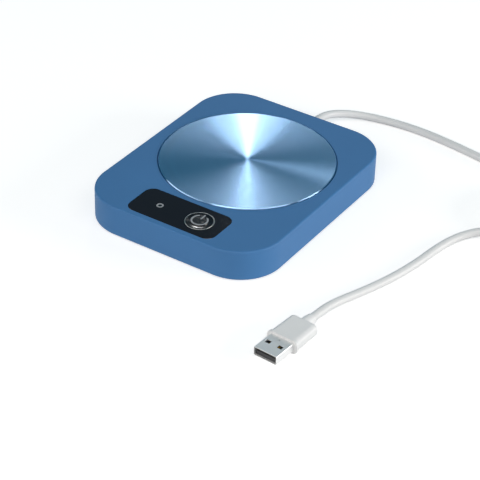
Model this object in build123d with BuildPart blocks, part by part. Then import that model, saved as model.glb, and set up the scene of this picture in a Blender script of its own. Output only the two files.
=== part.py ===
from build123d import *
import math
import os

# Electric mug warmer: a rounded slab with a round metal heating plate, a control panel with a
# power button and an indicator light, and a fixed USB lead.
# Millimetres. Origin at the middle of the footprint on the standing surface, +Z up, -Y is the
# control panel side and +Y is the side where the lead leaves.

os.makedirs("parts", exist_ok=True)

# ---- driving dimensions: housing -----------------------------------------------------------------
side_margin = 6.5
back_margin = 10.4
front_margin = 2.95
panel_plate_distance = 2.55
corner_radius = 22.0
wall = 2.4
deck = 2.0
top_round = 1.0
bottom_round = 0.8
foot_stand = 0.5

# ---- base cover, feet and the screws between cover and housing -----------------------------------
cover_thickness = 1.8
cover_inset = 0.2
cover_gap = 0.1
lip_thickness = 1.2
cover_pad_radius = 4.2
cover_pad_height = 2.0
cover_rib_width = 1.2
cover_rib_height = 1.2
cover_rib_spacing = 20.0
cover_rib_length = 70.0
cover_rib_middle_y = 8.0
foot_radius = 5.0
foot_height = 1.5
foot_inset_x = 14.5
foot_inset_y = 23.5
foot_pocket_gap = 0.2
housing_screw_inset = 11.5
housing_screw_length = 8.0
housing_screw_radius = 1.3
housing_screw_head_radius = 2.5
housing_screw_head_height = 1.6
housing_screw_recess = 0.6
housing_boss_radius = 3.5
screw_hole_gap = 0.2
thread_gap = 0.05
boss_end_gap = 0.6
screw_head_round = 0.35
screw_tip_chamfer = 0.4
driver_slot_width = 0.25
driver_slot_depth = 0.5
web_thickness = 1.2
web_depth = 7.0

# ---- heating plate and the layers under it -------------------------------------------------------
plate_radius = 42.65
plate_thickness = 1.5
plate_proud = 0.4
plate_gap = 0.35
plate_chamfer = 0.4
gasket_thickness = 0.7
gasket_width = 3.4
gasket_setback = 0.4
collar_wall = 2.4
ledge_thickness = 1.4
ledge_width = 4.5
film_setback = 1.0
film_thickness = 0.25
track_thickness = 0.15
track_width = 2.8
track_pitch = 4.8
track_rings = 5
track_first_radius = 8.0
track_mouth_half = 4.0
pad_setback = 1.5
sensor_hole_radius = 2.6
window_width = 26.0
window_depth = 9.0
terminal_setback = 1.0

# ---- pressed steel retainer under the heater -----------------------------------------------------
sheet = 0.6
pan_setback = 2.0
pan_depth = 3.4
pan_draft = 1.6
flange_setback = 1.4
ear_radius = 3.5
ear_reach = 5.0
ear_overlap = 2.0
lead_window_width = 24.0
lead_window_depth = 5.5
lead_window_corner = 1.0
ear_count = 4
ear_first_angle = 45.0
bead_count = 6
bead_length = 16.0
bead_width = 2.4
bead_depth = 0.5
bead_circle_radius = 19.0
retainer_boss_radius = 3.0
retainer_screw_radius = 1.0
retainer_screw_head_radius = 1.9
retainer_screw_head_height = 1.3
retainer_screw_length = 4.4

# ---- control panel, button and indicator ---------------------------------------------------------
panel_width = 47.5
panel_length = 21.1
panel_corner = 4.75
panel_thickness = 1.0
panel_gap = 0.1
panel_bevel = 0.15
control_inset = 12.75
ring_radius = 7.0
ring_width = 0.6
ring_proud = 0.15
ring_fit_gap = 0.05
cap_gap = 0.2
cap_crown = 0.5
cap_flat_radius = 4.9
cap_top_thickness = 1.2
cap_skirt_thickness = 1.0
cap_flange_width = 1.4
cap_flange_thickness = 0.8
cap_stem_radius = 2.0
button_travel = 0.3
rest_gap = 0.1
stem_gap = 0.05
key_width = 1.2
key_gap = 0.2
key_length = 2.6
symbol_radius = 3.75
symbol_line = 0.75
symbol_thickness = 0.08
symbol_mouth_angle = 64.0
symbol_bar_inner = 0.9
symbol_bar_outer = 4.8
lamp_ring_radius = 1.7
lamp_ring_thickness = 0.5
lens_radius = 0.95
lens_flange_radius = 2.2
lens_flange_thickness = 1.0
lens_end_gap = 0.4

# ---- circuit board and what is on it -------------------------------------------------------------
board_width = 56.0
board_length = 19.0
board_thickness = 1.6
board_corner = 1.5
board_offset_y = 0.5
board_clearance = 0.7
board_drop = 5.0
board_screw_inset_x = 3.5
board_screw_inset_y = 3.0
board_boss_radius = 2.5
board_screw_radius = 1.0
board_screw_head_radius = 1.9
board_screw_head_height = 1.3
board_screw_length = 5.4
switch_size = 6.0
switch_base_height = 3.0
switch_cavity_radius = 2.35
switch_floor = 1.0
switch_cover_thickness = 0.3
plunger_radius = 1.75
plunger_flange_radius = 2.2
plunger_gap = 0.1
plunger_height = 1.1
dome_radius = 2.1
dome_rise = 0.6
dome_sheet = 0.12
leg_width = 0.7
leg_thickness = 0.2
leg_reach = 1.0
leg_spacing = 4.5
led_length = 3.2
led_width = 1.6
led_height = 0.6
led_lens_radius = 0.7
chip_length = 4.9
chip_width = 3.9
chip_height = 1.5
chip_pins = 4
chip_pin_pitch = 1.27
chip_pin_width = 0.42
chip_pin_length = 1.4
chip_offset_y = -3.0
transistor_width = 6.6
transistor_length = 6.1
transistor_height = 2.3
transistor_tab_width = 5.3
transistor_tab_length = 2.0
transistor_lead_pitch = 4.6
transistor_lead_length = 3.0
transistor_offset_x = -14.0
transistor_offset_y = -3.0
capacitor_radius = 2.5
capacitor_height = 4.2
capacitor_foot_height = 0.5
capacitor_offset_x = 12.0
capacitor_offset_y = -4.0
resistor_length = 2.0
resistor_width = 1.25
resistor_height = 0.6
resistor_offset_x = 5.5
resistor_offset_y = -4.0
resistor_pitch = 4.0
connector_width = 7.5
connector_length = 6.0
connector_height = 4.2
connector_wall = 0.8
connector_spacing = 16.0
connector_slot_width = 1.5
connector_slot_length = 3.0
wire_pitch = 2.4

# ---- lead: strain relief, clamp and wires --------------------------------------------------------
cord_radius = 2.0
relief_neck_radius = 3.5
relief_hole_gap = 0.1
relief_flange_thickness = 1.5
relief_shoulder_radius = 4.2
relief_shoulder_thickness = 1.2
relief_tip_wall = 0.6
relief_taper = 0.7
relief_length = 5.8
relief_groove_depth = 0.4
relief_groove_width = 0.8
relief_grooves = 3
relief_bore_gap = 0.02
clamp_width = 19.0
clamp_length = 4.0
clamp_setback = 0.4
clamp_thickness = 2.8
clamp_gap = 0.2
clamp_clearance = 0.2
clamp_squeeze_gap = 0.05
clamp_boss_radius = 2.5
clamp_screw_inset = 2.5
clamp_screw_radius = 1.2
clamp_screw_head_radius = 2.3
clamp_screw_head_height = 1.3
clamp_screw_length = 8.0
cord_tail_inside = 4.6
supply_wire_radius = 0.7
supply_wire_turns = [(8.0, 36.0), (20.0, 22.0), (27.0, 4.0), (24.0, -14.0)]
supply_wire_straight = 3.6
supply_wire_approach = 9.0
wire_approach = 4.5
heater_wire_radius = 0.6
heater_wire_drop = 0.9
heater_wire_turns = [(1.08, 3.0), (-9.0, 6.0)]
fuse_wire_drop = 1.35
fuse_wire_step = 5.0
fuse_wire_swing = 2.2
sensor_wire_radius = 0.35
sensor_wire_pitch = 1.0
sensor_wire_drop = 0.4
sensor_wire_levels = [(0.0, 2.0), (-14.0, 2.5), (-27.0, 3.0)]
sensor_bead_radius = 1.3
sensor_bead_length = 3.0
fuse_radius = 1.5
fuse_length = 8.5
fuse_lead_radius = 0.4
fuse_lead_length = 1.5

# ---- USB plug ------------------------------------------------------------------------------------
plug_tip_x = 80.5
plug_tip_y = -100.0
plug_turn = 4.0
shell_width = 12.0
shell_height = 4.5
shell_sheet = 0.3
shell_corner = 0.6
shell_length = 18.75
shell_bare = 12.0
window_from_tip = 6.4
window_offset = 3.15
shell_window_length = 2.1
shell_window_width = 2.4
dimple_from_tip = 10.0
dimple_radius = 0.45
tongue_height = 1.9
tongue_setback = 1.0
tongue_gap = 0.1
contact_width = 1.0
contact_length = 7.0
contact_thickness = 0.12
contact_spacing = 2.33
grip_lip_width = 16.0
grip_lip_height = 7.0
grip_lip_length = 1.2
grip_width = 15.2
grip_height = 6.4
grip_length = 16.5
grip_taper = 0.8
grip_corner = 2.8
grip_corner_taper = 0.3
grip_round = 1.2
collar_radius = 2.85
collar_length = 3.0
collar_tip_radius = 2.5
collar_tip_length = 2.0

# ---- free lead: hand-laid route and coil ---------------------------------------------------------
coil_middle_x = 133.0
coil_middle_y = 67.0
coil_turn_radius = 22.0
coil_columns = 3
coil_rows = 2
coil_edge_round = 1.9
cord_straight_at_plug = 9.0

# ---- derived heights, from the cover up to the deck ----------------------------------------------
base_z = foot_stand
cover_z = base_z + cover_inset
cover_top_z = cover_z + cover_thickness
cover_pad_z = cover_top_z + cover_pad_height
housing_screw_seat_z = cover_z + housing_screw_head_height + housing_screw_recess
board_under_z = cover_top_z + board_clearance + connector_height
board_top_z = board_under_z + board_thickness
deck_under_z = board_top_z + board_drop
deck_z = deck_under_z + deck
body_height = deck_z - base_z
plate_top_z = deck_z + plate_proud
plate_under_z = plate_top_z - plate_thickness
ledge_z = plate_under_z - gasket_thickness
ledge_under_z = ledge_z - ledge_thickness
film_under_z = plate_under_z - film_thickness
track_under_z = film_under_z - track_thickness
pan_z = ledge_under_z
flange_z = pan_z - pan_depth
panel_seat_z = deck_z - panel_thickness
cap_flange_z = deck_under_z - rest_gap
switch_top_z = board_top_z + switch_base_height
switch_floor_z = board_top_z + switch_floor
plunger_top_z = switch_top_z + switch_cover_thickness + plunger_height
clamp_under_z = cover_top_z + clamp_clearance + clamp_screw_head_height
clamp_top_z = clamp_under_z + clamp_thickness
cord_exit_z = clamp_top_z + clamp_gap
saddle_z = cord_exit_z + clamp_gap

# ---- derived outlines and places -----------------------------------------------------------------
opening_radius = plate_radius + plate_gap
body_width = 2 * (opening_radius + side_margin)
body_length = front_margin + panel_length + panel_plate_distance + 2 * opening_radius + back_margin
back_face_y = body_length / 2
back_inner_y = back_face_y - wall
plate_middle_y = back_face_y - back_margin - opening_radius
panel_middle_y = -back_face_y + front_margin + panel_length / 2
collar_outer_radius = opening_radius + collar_wall
ledge_inner_radius = opening_radius - ledge_width
film_radius = ledge_inner_radius - film_setback
pad_radius = ledge_inner_radius - pad_setback
pan_radius = ledge_inner_radius - pan_setback
flange_radius = collar_outer_radius - flange_setback
ear_circle_radius = flange_radius + ear_reach
control_offset_x = panel_width / 2 - control_inset
button_at = (control_offset_x, panel_middle_y)
lamp_at = (-control_offset_x, panel_middle_y)
ring_inner_radius = ring_radius - ring_width
cap_radius = ring_inner_radius - cap_gap
cap_flange_radius = cap_radius + cap_flange_width
corner_middle_x = body_width / 2 - corner_radius
corner_middle_y = body_length / 2 - corner_radius
board_middle_y = panel_middle_y + board_offset_y
board_back_y = board_middle_y + board_length / 2
clamp_back_y = back_inner_y - relief_flange_thickness - clamp_setback
clamp_middle_y = clamp_back_y - clamp_length / 2
relief_flange_radius = cord_exit_z - cover_top_z - clamp_clearance
relief_tip_radius = cord_radius + relief_tip_wall
relief_root_radius = relief_tip_radius + relief_taper
relief_end_y = back_face_y + relief_shoulder_thickness + relief_length
tail_start_y = clamp_back_y - cord_tail_inside
connector_face_y = board_back_y
connector_middle_z = board_under_z - connector_height / 2
terminal_y = plate_middle_y - pad_radius + window_depth / 2 + terminal_setback


def corners(width, length, inset_x, inset_y, middle_y=0.0):
    """The four points that lie in from the corners of a rectangle by the two insets."""
    return [
        (side_x * (width / 2 - inset_x), middle_y + side_y * (length / 2 - inset_y))
        for side_x in (-1, 1)
        for side_y in (-1, 1)
    ]


def around_plate(radius, count, first_angle=0.0):
    """Points on a circle about the middle of the heating plate."""
    angles = [math.radians(first_angle + 360.0 * step / count) for step in range(count)]
    return [(radius * math.cos(a), plate_middle_y + radius * math.sin(a)) for a in angles]


housing_screws_at = corners(body_width, body_length, housing_screw_inset, housing_screw_inset)
feet_at = corners(body_width, body_length, foot_inset_x, foot_inset_y)
board_screws_at = corners(
    board_width, board_length, board_screw_inset_x, board_screw_inset_y, board_middle_y
)
ears_at = around_plate(ear_circle_radius, ear_count, ear_first_angle)
clamp_screws_at = [
    (side * (clamp_width / 2 - clamp_screw_inset), clamp_middle_y) for side in (-1, 1)
]


def bend_radii(points):
    """Radius of the arc at each corner of a route, as large as the two runs beside it allow."""
    radii = []
    for before, corner, after in zip(points, points[1:], points[2:]):
        run_in = Vector(*corner) - Vector(*before)
        run_out = Vector(*after) - Vector(*corner)
        half_turn = math.radians(run_in.get_angle(run_out)) / 2
        radii.append(0.45 * min(run_in.length, run_out.length) / math.tan(half_turn))
    return radii


def tube(points, radius):
    """A round bar along straight runs that are joined by tangent arcs."""
    with BuildPart() as bar:
        with BuildLine() as path:
            FilletPolyline(*points, radius=bend_radii(points))
        with BuildSketch(Plane(origin=path.line @ 0, z_dir=path.line % 0)):
            Circle(radius)
        sweep(path=path.line)
    return bar.part


def screws(places, seat_z, head_radius, head_height, shank_radius, length):
    """Pan-head screws that are driven upwards: heads under seat_z, shanks above it."""
    with BuildPart() as group:
        with BuildSketch(Plane.XY.offset(seat_z - head_height)):
            with Locations(*places):
                Circle(head_radius)
        extrude(amount=head_height)
        lowest = group.faces().filter_by(Axis.Z).group_by(Axis.Z)[0]
        fillet(lowest.edges(), head_height * screw_head_round)
        with BuildSketch(Plane.XY.offset(seat_z)):
            with Locations(*places):
                Circle(shank_radius)
        extrude(amount=length)
        highest = group.faces().filter_by(Axis.Z).group_by(Axis.Z)[-1]
        chamfer(highest.edges(), shank_radius * screw_tip_chamfer)
        with BuildSketch(Plane.XY.offset(seat_z - head_height)):
            with Locations(*places):
                Rectangle(head_radius, head_radius * driver_slot_width)
                Rectangle(head_radius * driver_slot_width, head_radius)
        extrude(amount=head_height * driver_slot_depth, mode=Mode.SUBTRACT)
    return group.part


def write(part, label):
    """Label a finished piece and write it as its own STEP file."""
    part.label = label
    export_step(part, f"parts/{label}.step")


# ---- top housing: moulded shell with the plate recess, panel recess and bosses -------------------
with BuildPart() as top_housing:
    with BuildSketch(Plane.XY.offset(base_z)):
        RectangleRounded(body_width, body_length, corner_radius)
    extrude(amount=body_height)
    fillet(top_housing.faces().sort_by(Axis.Z)[-1].edges(), top_round)
    fillet(top_housing.faces().sort_by(Axis.Z)[0].edges(), bottom_round)
    with BuildSketch(Plane.XY.offset(base_z)):
        RectangleRounded(body_width - 2 * wall, body_length - 2 * wall, corner_radius - wall)
    extrude(amount=body_height - deck, mode=Mode.SUBTRACT)
    with BuildSketch(Plane.XY.offset(base_z)):
        RectangleRounded(
            body_width - 2 * lip_thickness,
            body_length - 2 * lip_thickness,
            corner_radius - lip_thickness,
        )
    extrude(amount=cover_top_z - base_z, mode=Mode.SUBTRACT)

    # collar and ledge that carry the heating plate
    with BuildSketch(Plane.XY.offset(ledge_under_z)):
        with Locations((0, plate_middle_y)):
            Circle(collar_outer_radius)
    extrude(amount=deck_under_z - ledge_under_z)
    with BuildSketch(Plane.XY.offset(ledge_z)):
        with Locations((0, plate_middle_y)):
            Circle(opening_radius)
    extrude(amount=deck_z - ledge_z, mode=Mode.SUBTRACT)
    with BuildSketch(Plane.XY.offset(ledge_under_z)):
        with Locations((0, plate_middle_y)):
            Circle(ledge_inner_radius)
    extrude(amount=ledge_z - ledge_under_z, mode=Mode.SUBTRACT)

    # bosses, each hanging from the deck to the face of what is screwed to it
    with BuildSketch(Plane.XY.offset(cover_pad_z)):
        with Locations(*housing_screws_at):
            Circle(housing_boss_radius)
    extrude(amount=deck_under_z - cover_pad_z)
    with BuildSketch(Plane.XY.offset(deck_under_z - web_depth)):
        for x, y in housing_screws_at:
            out_x = x - math.copysign(corner_middle_x, x)
            out_y = y - math.copysign(corner_middle_y, y)
            web_length = corner_radius - wall / 2 - math.hypot(out_x, out_y)
            with Locations(Location((x, y), math.degrees(math.atan2(out_y, out_x)))):
                Rectangle(web_length, web_thickness, align=(Align.MIN, Align.CENTER))
    extrude(amount=web_depth)
    with BuildSketch(Plane.XY.offset(flange_z)):
        with Locations(*ears_at):
            Circle(retainer_boss_radius)
    extrude(amount=deck_under_z - flange_z)
    with BuildSketch(Plane.XY.offset(board_top_z)):
        with Locations(*board_screws_at):
            Circle(board_boss_radius)
    extrude(amount=deck_under_z - board_top_z)

    # saddle above the lead, with a boss at each end
    with BuildSketch(Plane.XY.offset(saddle_z)):
        with Locations((0, clamp_middle_y)):
            Rectangle(clamp_width, clamp_length)
        with Locations(*clamp_screws_at):
            Circle(clamp_boss_radius)
    extrude(amount=deck_under_z - saddle_z)

    # rib that keeps the button cap from turning
    with BuildSketch(Plane.XY.offset(cap_flange_z - cap_flange_thickness - button_travel)):
        with Locations((button_at[0], button_at[1] + cap_radius + key_gap)):
            Rectangle(key_width, key_length, align=(Align.CENTER, Align.MIN))
    extrude(amount=rest_gap + cap_flange_thickness + button_travel)

    # recess and openings for the control panel
    with BuildSketch(Plane.XY.offset(panel_seat_z)):
        with Locations((0, panel_middle_y)):
            RectangleRounded(
                panel_width + 2 * panel_gap, panel_length + 2 * panel_gap, panel_corner + panel_gap
            )
    extrude(amount=panel_thickness, mode=Mode.SUBTRACT)
    with BuildSketch(Plane.XY.offset(deck_under_z)):
        with Locations(button_at):
            Circle(ring_inner_radius)
        with Locations(lamp_at):
            Circle(lens_radius + ring_fit_gap)
    extrude(amount=deck, mode=Mode.SUBTRACT)

    # pilot holes, blind in the bosses
    with BuildSketch(Plane.XY.offset(cover_pad_z)):
        with Locations(*housing_screws_at):
            Circle(housing_screw_radius + thread_gap)
    extrude(
        amount=housing_screw_seat_z + housing_screw_length + boss_end_gap - cover_pad_z,
        mode=Mode.SUBTRACT,
    )
    with BuildSketch(Plane.XY.offset(flange_z)):
        with Locations(*ears_at):
            Circle(retainer_screw_radius + thread_gap)
    extrude(amount=deck_under_z - flange_z, mode=Mode.SUBTRACT)
    with BuildSketch(Plane.XY.offset(board_top_z)):
        with Locations(*board_screws_at):
            Circle(board_screw_radius + thread_gap)
    extrude(amount=board_screw_length - board_thickness + boss_end_gap, mode=Mode.SUBTRACT)
    with BuildSketch(Plane.XY.offset(clamp_top_z)):
        with Locations(*clamp_screws_at):
            Circle(clamp_screw_radius + thread_gap)
    extrude(amount=clamp_screw_length - clamp_thickness + boss_end_gap, mode=Mode.SUBTRACT)

    # the lead's hole through the back wall and its groove in the saddle
    with BuildSketch(Plane.XZ.offset(-back_inner_y + wall / 4)):
        with Locations((0, cord_exit_z)):
            Circle(relief_neck_radius + relief_hole_gap)
    extrude(amount=-2 * wall, mode=Mode.SUBTRACT)
    with BuildSketch(Plane.XZ.offset(-clamp_back_y)):
        with Locations((0, cord_exit_z)):
            Circle(cord_radius + clamp_squeeze_gap)
    extrude(amount=clamp_length, mode=Mode.SUBTRACT)
write(top_housing.part, "top_housing")

# ---- base cover ----------------------------------------------------------------------------------
with BuildPart() as base_cover:
    with BuildSketch(Plane.XY.offset(cover_z)):
        RectangleRounded(
            body_width - 2 * (lip_thickness + cover_gap),
            body_length - 2 * (lip_thickness + cover_gap),
            corner_radius - lip_thickness - cover_gap,
        )
    extrude(amount=cover_thickness)
    chamfer(base_cover.faces().sort_by(Axis.Z)[0].edges(), cover_thickness / 6)
    with BuildSketch(Plane.XY.offset(cover_top_z)):
        with Locations(*housing_screws_at):
            Circle(cover_pad_radius)
    extrude(amount=cover_pad_height)
    with BuildSketch(Plane.XY.offset(cover_top_z)):
        with Locations((0, cover_rib_middle_y)):
            with GridLocations(cover_rib_spacing, 1, 3, 1):
                Rectangle(cover_rib_width, cover_rib_length)
            with GridLocations(1, cover_rib_spacing, 1, 3):
                Rectangle(cover_rib_length, cover_rib_width)
    extrude(amount=cover_rib_height)
    with BuildSketch(Plane.XY.offset(cover_z)):
        with Locations(*feet_at):
            Circle(foot_radius + foot_pocket_gap)
    extrude(amount=foot_height - cover_z, mode=Mode.SUBTRACT)
    with Locations(*[Plane((x, y, cover_z), z_dir=(0, 0, -1)) for x, y in housing_screws_at]):
        CounterBoreHole(
            radius=housing_screw_radius + screw_hole_gap,
            counter_bore_radius=housing_screw_head_radius + screw_hole_gap,
            counter_bore_depth=housing_screw_head_height + housing_screw_recess,
        )
write(base_cover.part, "base_cover")

with BuildPart() as rubber_feet:
    with BuildSketch():
        with Locations(*feet_at):
            Circle(foot_radius)
    extrude(amount=foot_height)
    fillet(rubber_feet.faces().filter_by(Axis.Z).group_by(Axis.Z)[0].edges(), foot_stand * 0.8)
write(rubber_feet.part, "rubber_feet")

housing_screws = screws(
    housing_screws_at,
    housing_screw_seat_z,
    housing_screw_head_radius,
    housing_screw_head_height,
    housing_screw_radius,
    housing_screw_length,
)
write(housing_screws, "housing_screws")

# ---- heating plate, gasket and heater layers -----------------------------------------------------
with BuildPart() as heating_plate:
    with BuildSketch(Plane.XY.offset(plate_under_z)):
        with Locations((0, plate_middle_y)):
            Circle(plate_radius)
    extrude(amount=plate_thickness)
    chamfer(heating_plate.faces().sort_by(Axis.Z)[-1].edges(), plate_chamfer)
write(heating_plate.part, "heating_plate")

plate_section = Plane(origin=(0, plate_middle_y, 0), x_dir=(1, 0, 0), z_dir=(0, -1, 0))
plate_axis = Axis((0, plate_middle_y, 0), (0, 0, 1))
gasket_outer_radius = plate_radius - gasket_setback
with BuildPart() as plate_gasket:
    with BuildSketch(Plane.XY.offset(ledge_z)):
        with Locations((0, plate_middle_y)):
            Circle(gasket_outer_radius)
            Circle(gasket_outer_radius - gasket_width, mode=Mode.SUBTRACT)
    extrude(amount=gasket_thickness)
write(plate_gasket.part, "plate_gasket")

with BuildPart() as heater_film:
    with BuildSketch(Plane.XY.offset(film_under_z)):
        with Locations((0, plate_middle_y)):
            Circle(film_radius)
    extrude(amount=film_thickness)
write(heater_film.part, "heater_film")

# The track doubles back at each end of every ring, on the two sides of a mouth that faces -Y.
# Its inner end comes out through the mouth to the second terminal.
track_radii = [track_first_radius + track_pitch * ring for ring in range(track_rings)]
mouth_x = track_mouth_half + track_width / 2
with BuildPart() as heater_track:
    with BuildSketch(Plane.XY.offset(track_under_z)):
        with Locations((0, plate_middle_y)):
            for ring_middle in reversed(track_radii):
                Circle(ring_middle + track_width / 2)
                Circle(ring_middle - track_width / 2, mode=Mode.SUBTRACT)
        with Locations((0, plate_middle_y)):
            Rectangle(
                2 * track_mouth_half,
                film_radius,
                align=(Align.CENTER, Align.MAX),
                mode=Mode.SUBTRACT,
            )
        for link, (inner, outer) in enumerate(zip(track_radii, track_radii[1:])):
            side = 1 if link % 2 else -1
            inner_y = plate_middle_y - math.sqrt(inner**2 - mouth_x**2)
            outer_y = plate_middle_y - math.sqrt(outer**2 - mouth_x**2)
            with Locations((side * mouth_x, (inner_y + outer_y) / 2)):
                Rectangle(track_width, inner_y - outer_y)
        first_y = plate_middle_y - math.sqrt(track_first_radius**2 - mouth_x**2)
        with Locations((0, first_y)):
            Rectangle(2 * mouth_x, track_width, align=(Align.MIN, Align.CENTER))
            Rectangle(track_width, first_y - terminal_y, align=(Align.CENTER, Align.MAX))
        last_y = plate_middle_y - math.sqrt(track_radii[-1] ** 2 - mouth_x**2)
        with Locations((mouth_x, last_y)):
            Rectangle(track_width, last_y - terminal_y, align=(Align.CENTER, Align.MAX))
    extrude(amount=track_thickness)
write(heater_track.part, "heater_track")

with BuildPart() as insulation_pad:
    with BuildSketch(Plane.XY.offset(pan_z)):
        with Locations((0, plate_middle_y)):
            Circle(pad_radius)
            Circle(sensor_hole_radius, mode=Mode.SUBTRACT)
        with Locations((0, plate_middle_y - pad_radius)):
            Rectangle(
                window_width,
                window_depth,
                align=(Align.CENTER, Align.MIN),
                mode=Mode.SUBTRACT,
            )
    extrude(amount=track_under_z - pan_z)
write(insulation_pad.part, "insulation_pad")

with BuildPart() as heater_retainer:
    with BuildSketch(plate_section):
        with BuildLine():
            Polyline(
                (0, pan_z),
                (pan_radius, pan_z),
                (pan_radius + pan_draft, flange_z),
                (flange_radius, flange_z),
                (flange_radius, flange_z - sheet),
                (pan_radius + pan_draft - sheet, flange_z - sheet),
                (pan_radius - sheet, pan_z - sheet),
                (0, pan_z - sheet),
                close=True,
            )
        make_face()
    revolve(axis=plate_axis)
    with BuildSketch(Plane.XY.offset(flange_z - sheet)):
        with Locations((0, plate_middle_y)):
            with PolarLocations(0, ear_count, start_angle=ear_first_angle):
                with Locations((flange_radius + (ear_reach - ear_overlap) / 2, 0)):
                    Rectangle(ear_reach + ear_overlap, 2 * ear_radius)
        with Locations(*ears_at):
            Circle(ear_radius)
    extrude(amount=sheet)
    with BuildSketch(Plane.XY.offset(pan_z - sheet)):
        with Locations((0, plate_middle_y)):
            with PolarLocations(bead_circle_radius, bead_count):
                SlotOverall(bead_length, bead_width)
    extrude(amount=-bead_depth)
    with BuildSketch(Plane.XY.offset(flange_z - sheet)):
        with Locations(*ears_at):
            Circle(retainer_screw_radius + screw_hole_gap)
        with Locations((0, plate_middle_y)):
            Circle(sensor_hole_radius)
        with Locations((0, terminal_y)):
            RectangleRounded(lead_window_width, lead_window_depth, lead_window_corner)
    extrude(amount=pan_depth + 2 * sheet, mode=Mode.SUBTRACT)
write(heater_retainer.part, "heater_retainer")

retainer_screws = screws(
    ears_at,
    flange_z - sheet,
    retainer_screw_head_radius,
    retainer_screw_head_height,
    retainer_screw_radius,
    retainer_screw_length,
)
write(retainer_screws, "retainer_screws")

with BuildPart() as thermistor:
    with BuildSketch(Plane.XY.offset(film_under_z - sensor_bead_length)):
        with Locations((0, plate_middle_y)):
            Circle(sensor_bead_radius)
    extrude(amount=sensor_bead_length)
    fillet(thermistor.faces().sort_by(Axis.Z)[0].edges(), sensor_bead_radius / 3)
write(thermistor.part, "thermistor")

fuse_z = track_under_z - fuse_radius
fuse_right_x = -fuse_lead_length
fuse_left_x = fuse_right_x - fuse_length
with BuildPart() as thermal_fuse:
    with BuildSketch(Plane.YZ.offset(fuse_left_x)):
        with Locations((terminal_y, fuse_z)):
            Circle(fuse_radius)
    extrude(amount=fuse_length)
    fillet(thermal_fuse.edges().filter_by(GeomType.CIRCLE), fuse_radius * 0.4)
    with BuildSketch(Plane.YZ.offset(fuse_left_x - fuse_lead_length)):
        with Locations((terminal_y, fuse_z)):
            Circle(fuse_lead_radius)
    extrude(amount=2 * fuse_lead_length + fuse_length + fuse_lead_radius)
    with BuildSketch(Plane.XY.offset(fuse_z)):
        with Locations((0, terminal_y)):
            Circle(fuse_lead_radius)
    extrude(amount=track_under_z - fuse_z)
write(thermal_fuse.part, "thermal_fuse")

# ---- control panel, button and indicator ---------------------------------------------------------
with BuildPart() as control_panel:
    with BuildSketch(Plane.XY.offset(panel_seat_z)):
        with Locations((0, panel_middle_y)):
            RectangleRounded(panel_width, panel_length, panel_corner)
        with Locations(button_at):
            Circle(ring_radius + ring_fit_gap, mode=Mode.SUBTRACT)
        with Locations(lamp_at):
            Circle(lens_radius + ring_fit_gap, mode=Mode.SUBTRACT)
    extrude(amount=panel_thickness)
    outer_edges = control_panel.faces().sort_by(Axis.Z)[-1].outer_wire().edges()
    chamfer(outer_edges, panel_bevel)
    with BuildSketch(Plane.XY.offset(deck_z - lamp_ring_thickness)):
        with Locations(lamp_at):
            Circle(lamp_ring_radius + ring_fit_gap)
    extrude(amount=lamp_ring_thickness, mode=Mode.SUBTRACT)
write(control_panel.part, "control_panel")

button_section = Plane(origin=(*button_at, 0), x_dir=(1, 0, 0), z_dir=(0, -1, 0))
button_axis = Axis((*button_at, 0), (0, 0, 1))
cap_edge_z = deck_z + ring_proud
cap_top_z = deck_z + cap_crown
with BuildPart() as button_ring:
    with BuildSketch(button_section):
        with BuildLine():
            Polyline(
                (ring_inner_radius, panel_seat_z),
                (ring_radius, panel_seat_z),
                (ring_radius, deck_z),
                (ring_radius - ring_proud, cap_edge_z),
                (ring_inner_radius, cap_edge_z),
                close=True,
            )
        make_face()
    revolve(axis=button_axis)
write(button_ring.part, "button_ring")

cap_hollow_radius = cap_radius - cap_skirt_thickness
cap_foot_z = cap_flange_z - cap_flange_thickness
cap_hollow_z = cap_top_z - cap_top_thickness
with BuildPart() as power_button:
    with BuildSketch(button_section):
        with BuildLine():
            Line((0, cap_top_z), (cap_flat_radius, cap_top_z))
            shoulder = TangentArc((cap_flat_radius, cap_top_z), (cap_radius, cap_edge_z), tangent=(1, 0))
            Polyline(
                shoulder @ 1,
                (cap_radius, cap_flange_z),
                (cap_flange_radius, cap_flange_z),
                (cap_flange_radius, cap_foot_z),
                (cap_hollow_radius, cap_foot_z),
                (cap_hollow_radius, cap_hollow_z),
                (cap_stem_radius, cap_hollow_z),
                (cap_stem_radius, plunger_top_z + stem_gap),
                (0, plunger_top_z + stem_gap),
                (0, cap_top_z),
            )
        make_face()
    revolve(axis=button_axis)
    with BuildSketch(Plane.XY.offset(cap_foot_z)):
        with Locations((button_at[0], button_at[1] + cap_radius)):
            Rectangle(key_width + 2 * key_gap, key_length, align=(Align.CENTER, Align.MIN))
    extrude(amount=cap_flange_thickness, mode=Mode.SUBTRACT)
write(power_button.part, "power_button")

with BuildPart() as power_symbol:
    with BuildSketch(Plane.XY.offset(cap_top_z)):
        with Locations(button_at):
            Circle(symbol_radius + symbol_line / 2)
            Circle(symbol_radius - symbol_line / 2, mode=Mode.SUBTRACT)
        with BuildLine():
            mouth_half = math.radians(symbol_mouth_angle / 2)
            mouth_reach = 2 * symbol_radius
            Polyline(
                button_at,
                (
                    button_at[0] - mouth_reach * math.sin(mouth_half),
                    button_at[1] + mouth_reach * math.cos(mouth_half),
                ),
                (
                    button_at[0] + mouth_reach * math.sin(mouth_half),
                    button_at[1] + mouth_reach * math.cos(mouth_half),
                ),
                close=True,
            )
        make_face(mode=Mode.SUBTRACT)
        with Locations((button_at[0], button_at[1] + (symbol_bar_inner + symbol_bar_outer) / 2)):
            SlotOverall(symbol_bar_outer - symbol_bar_inner, symbol_line, rotation=90)
    extrude(amount=symbol_thickness)
write(power_symbol.part, "power_symbol")

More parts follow.
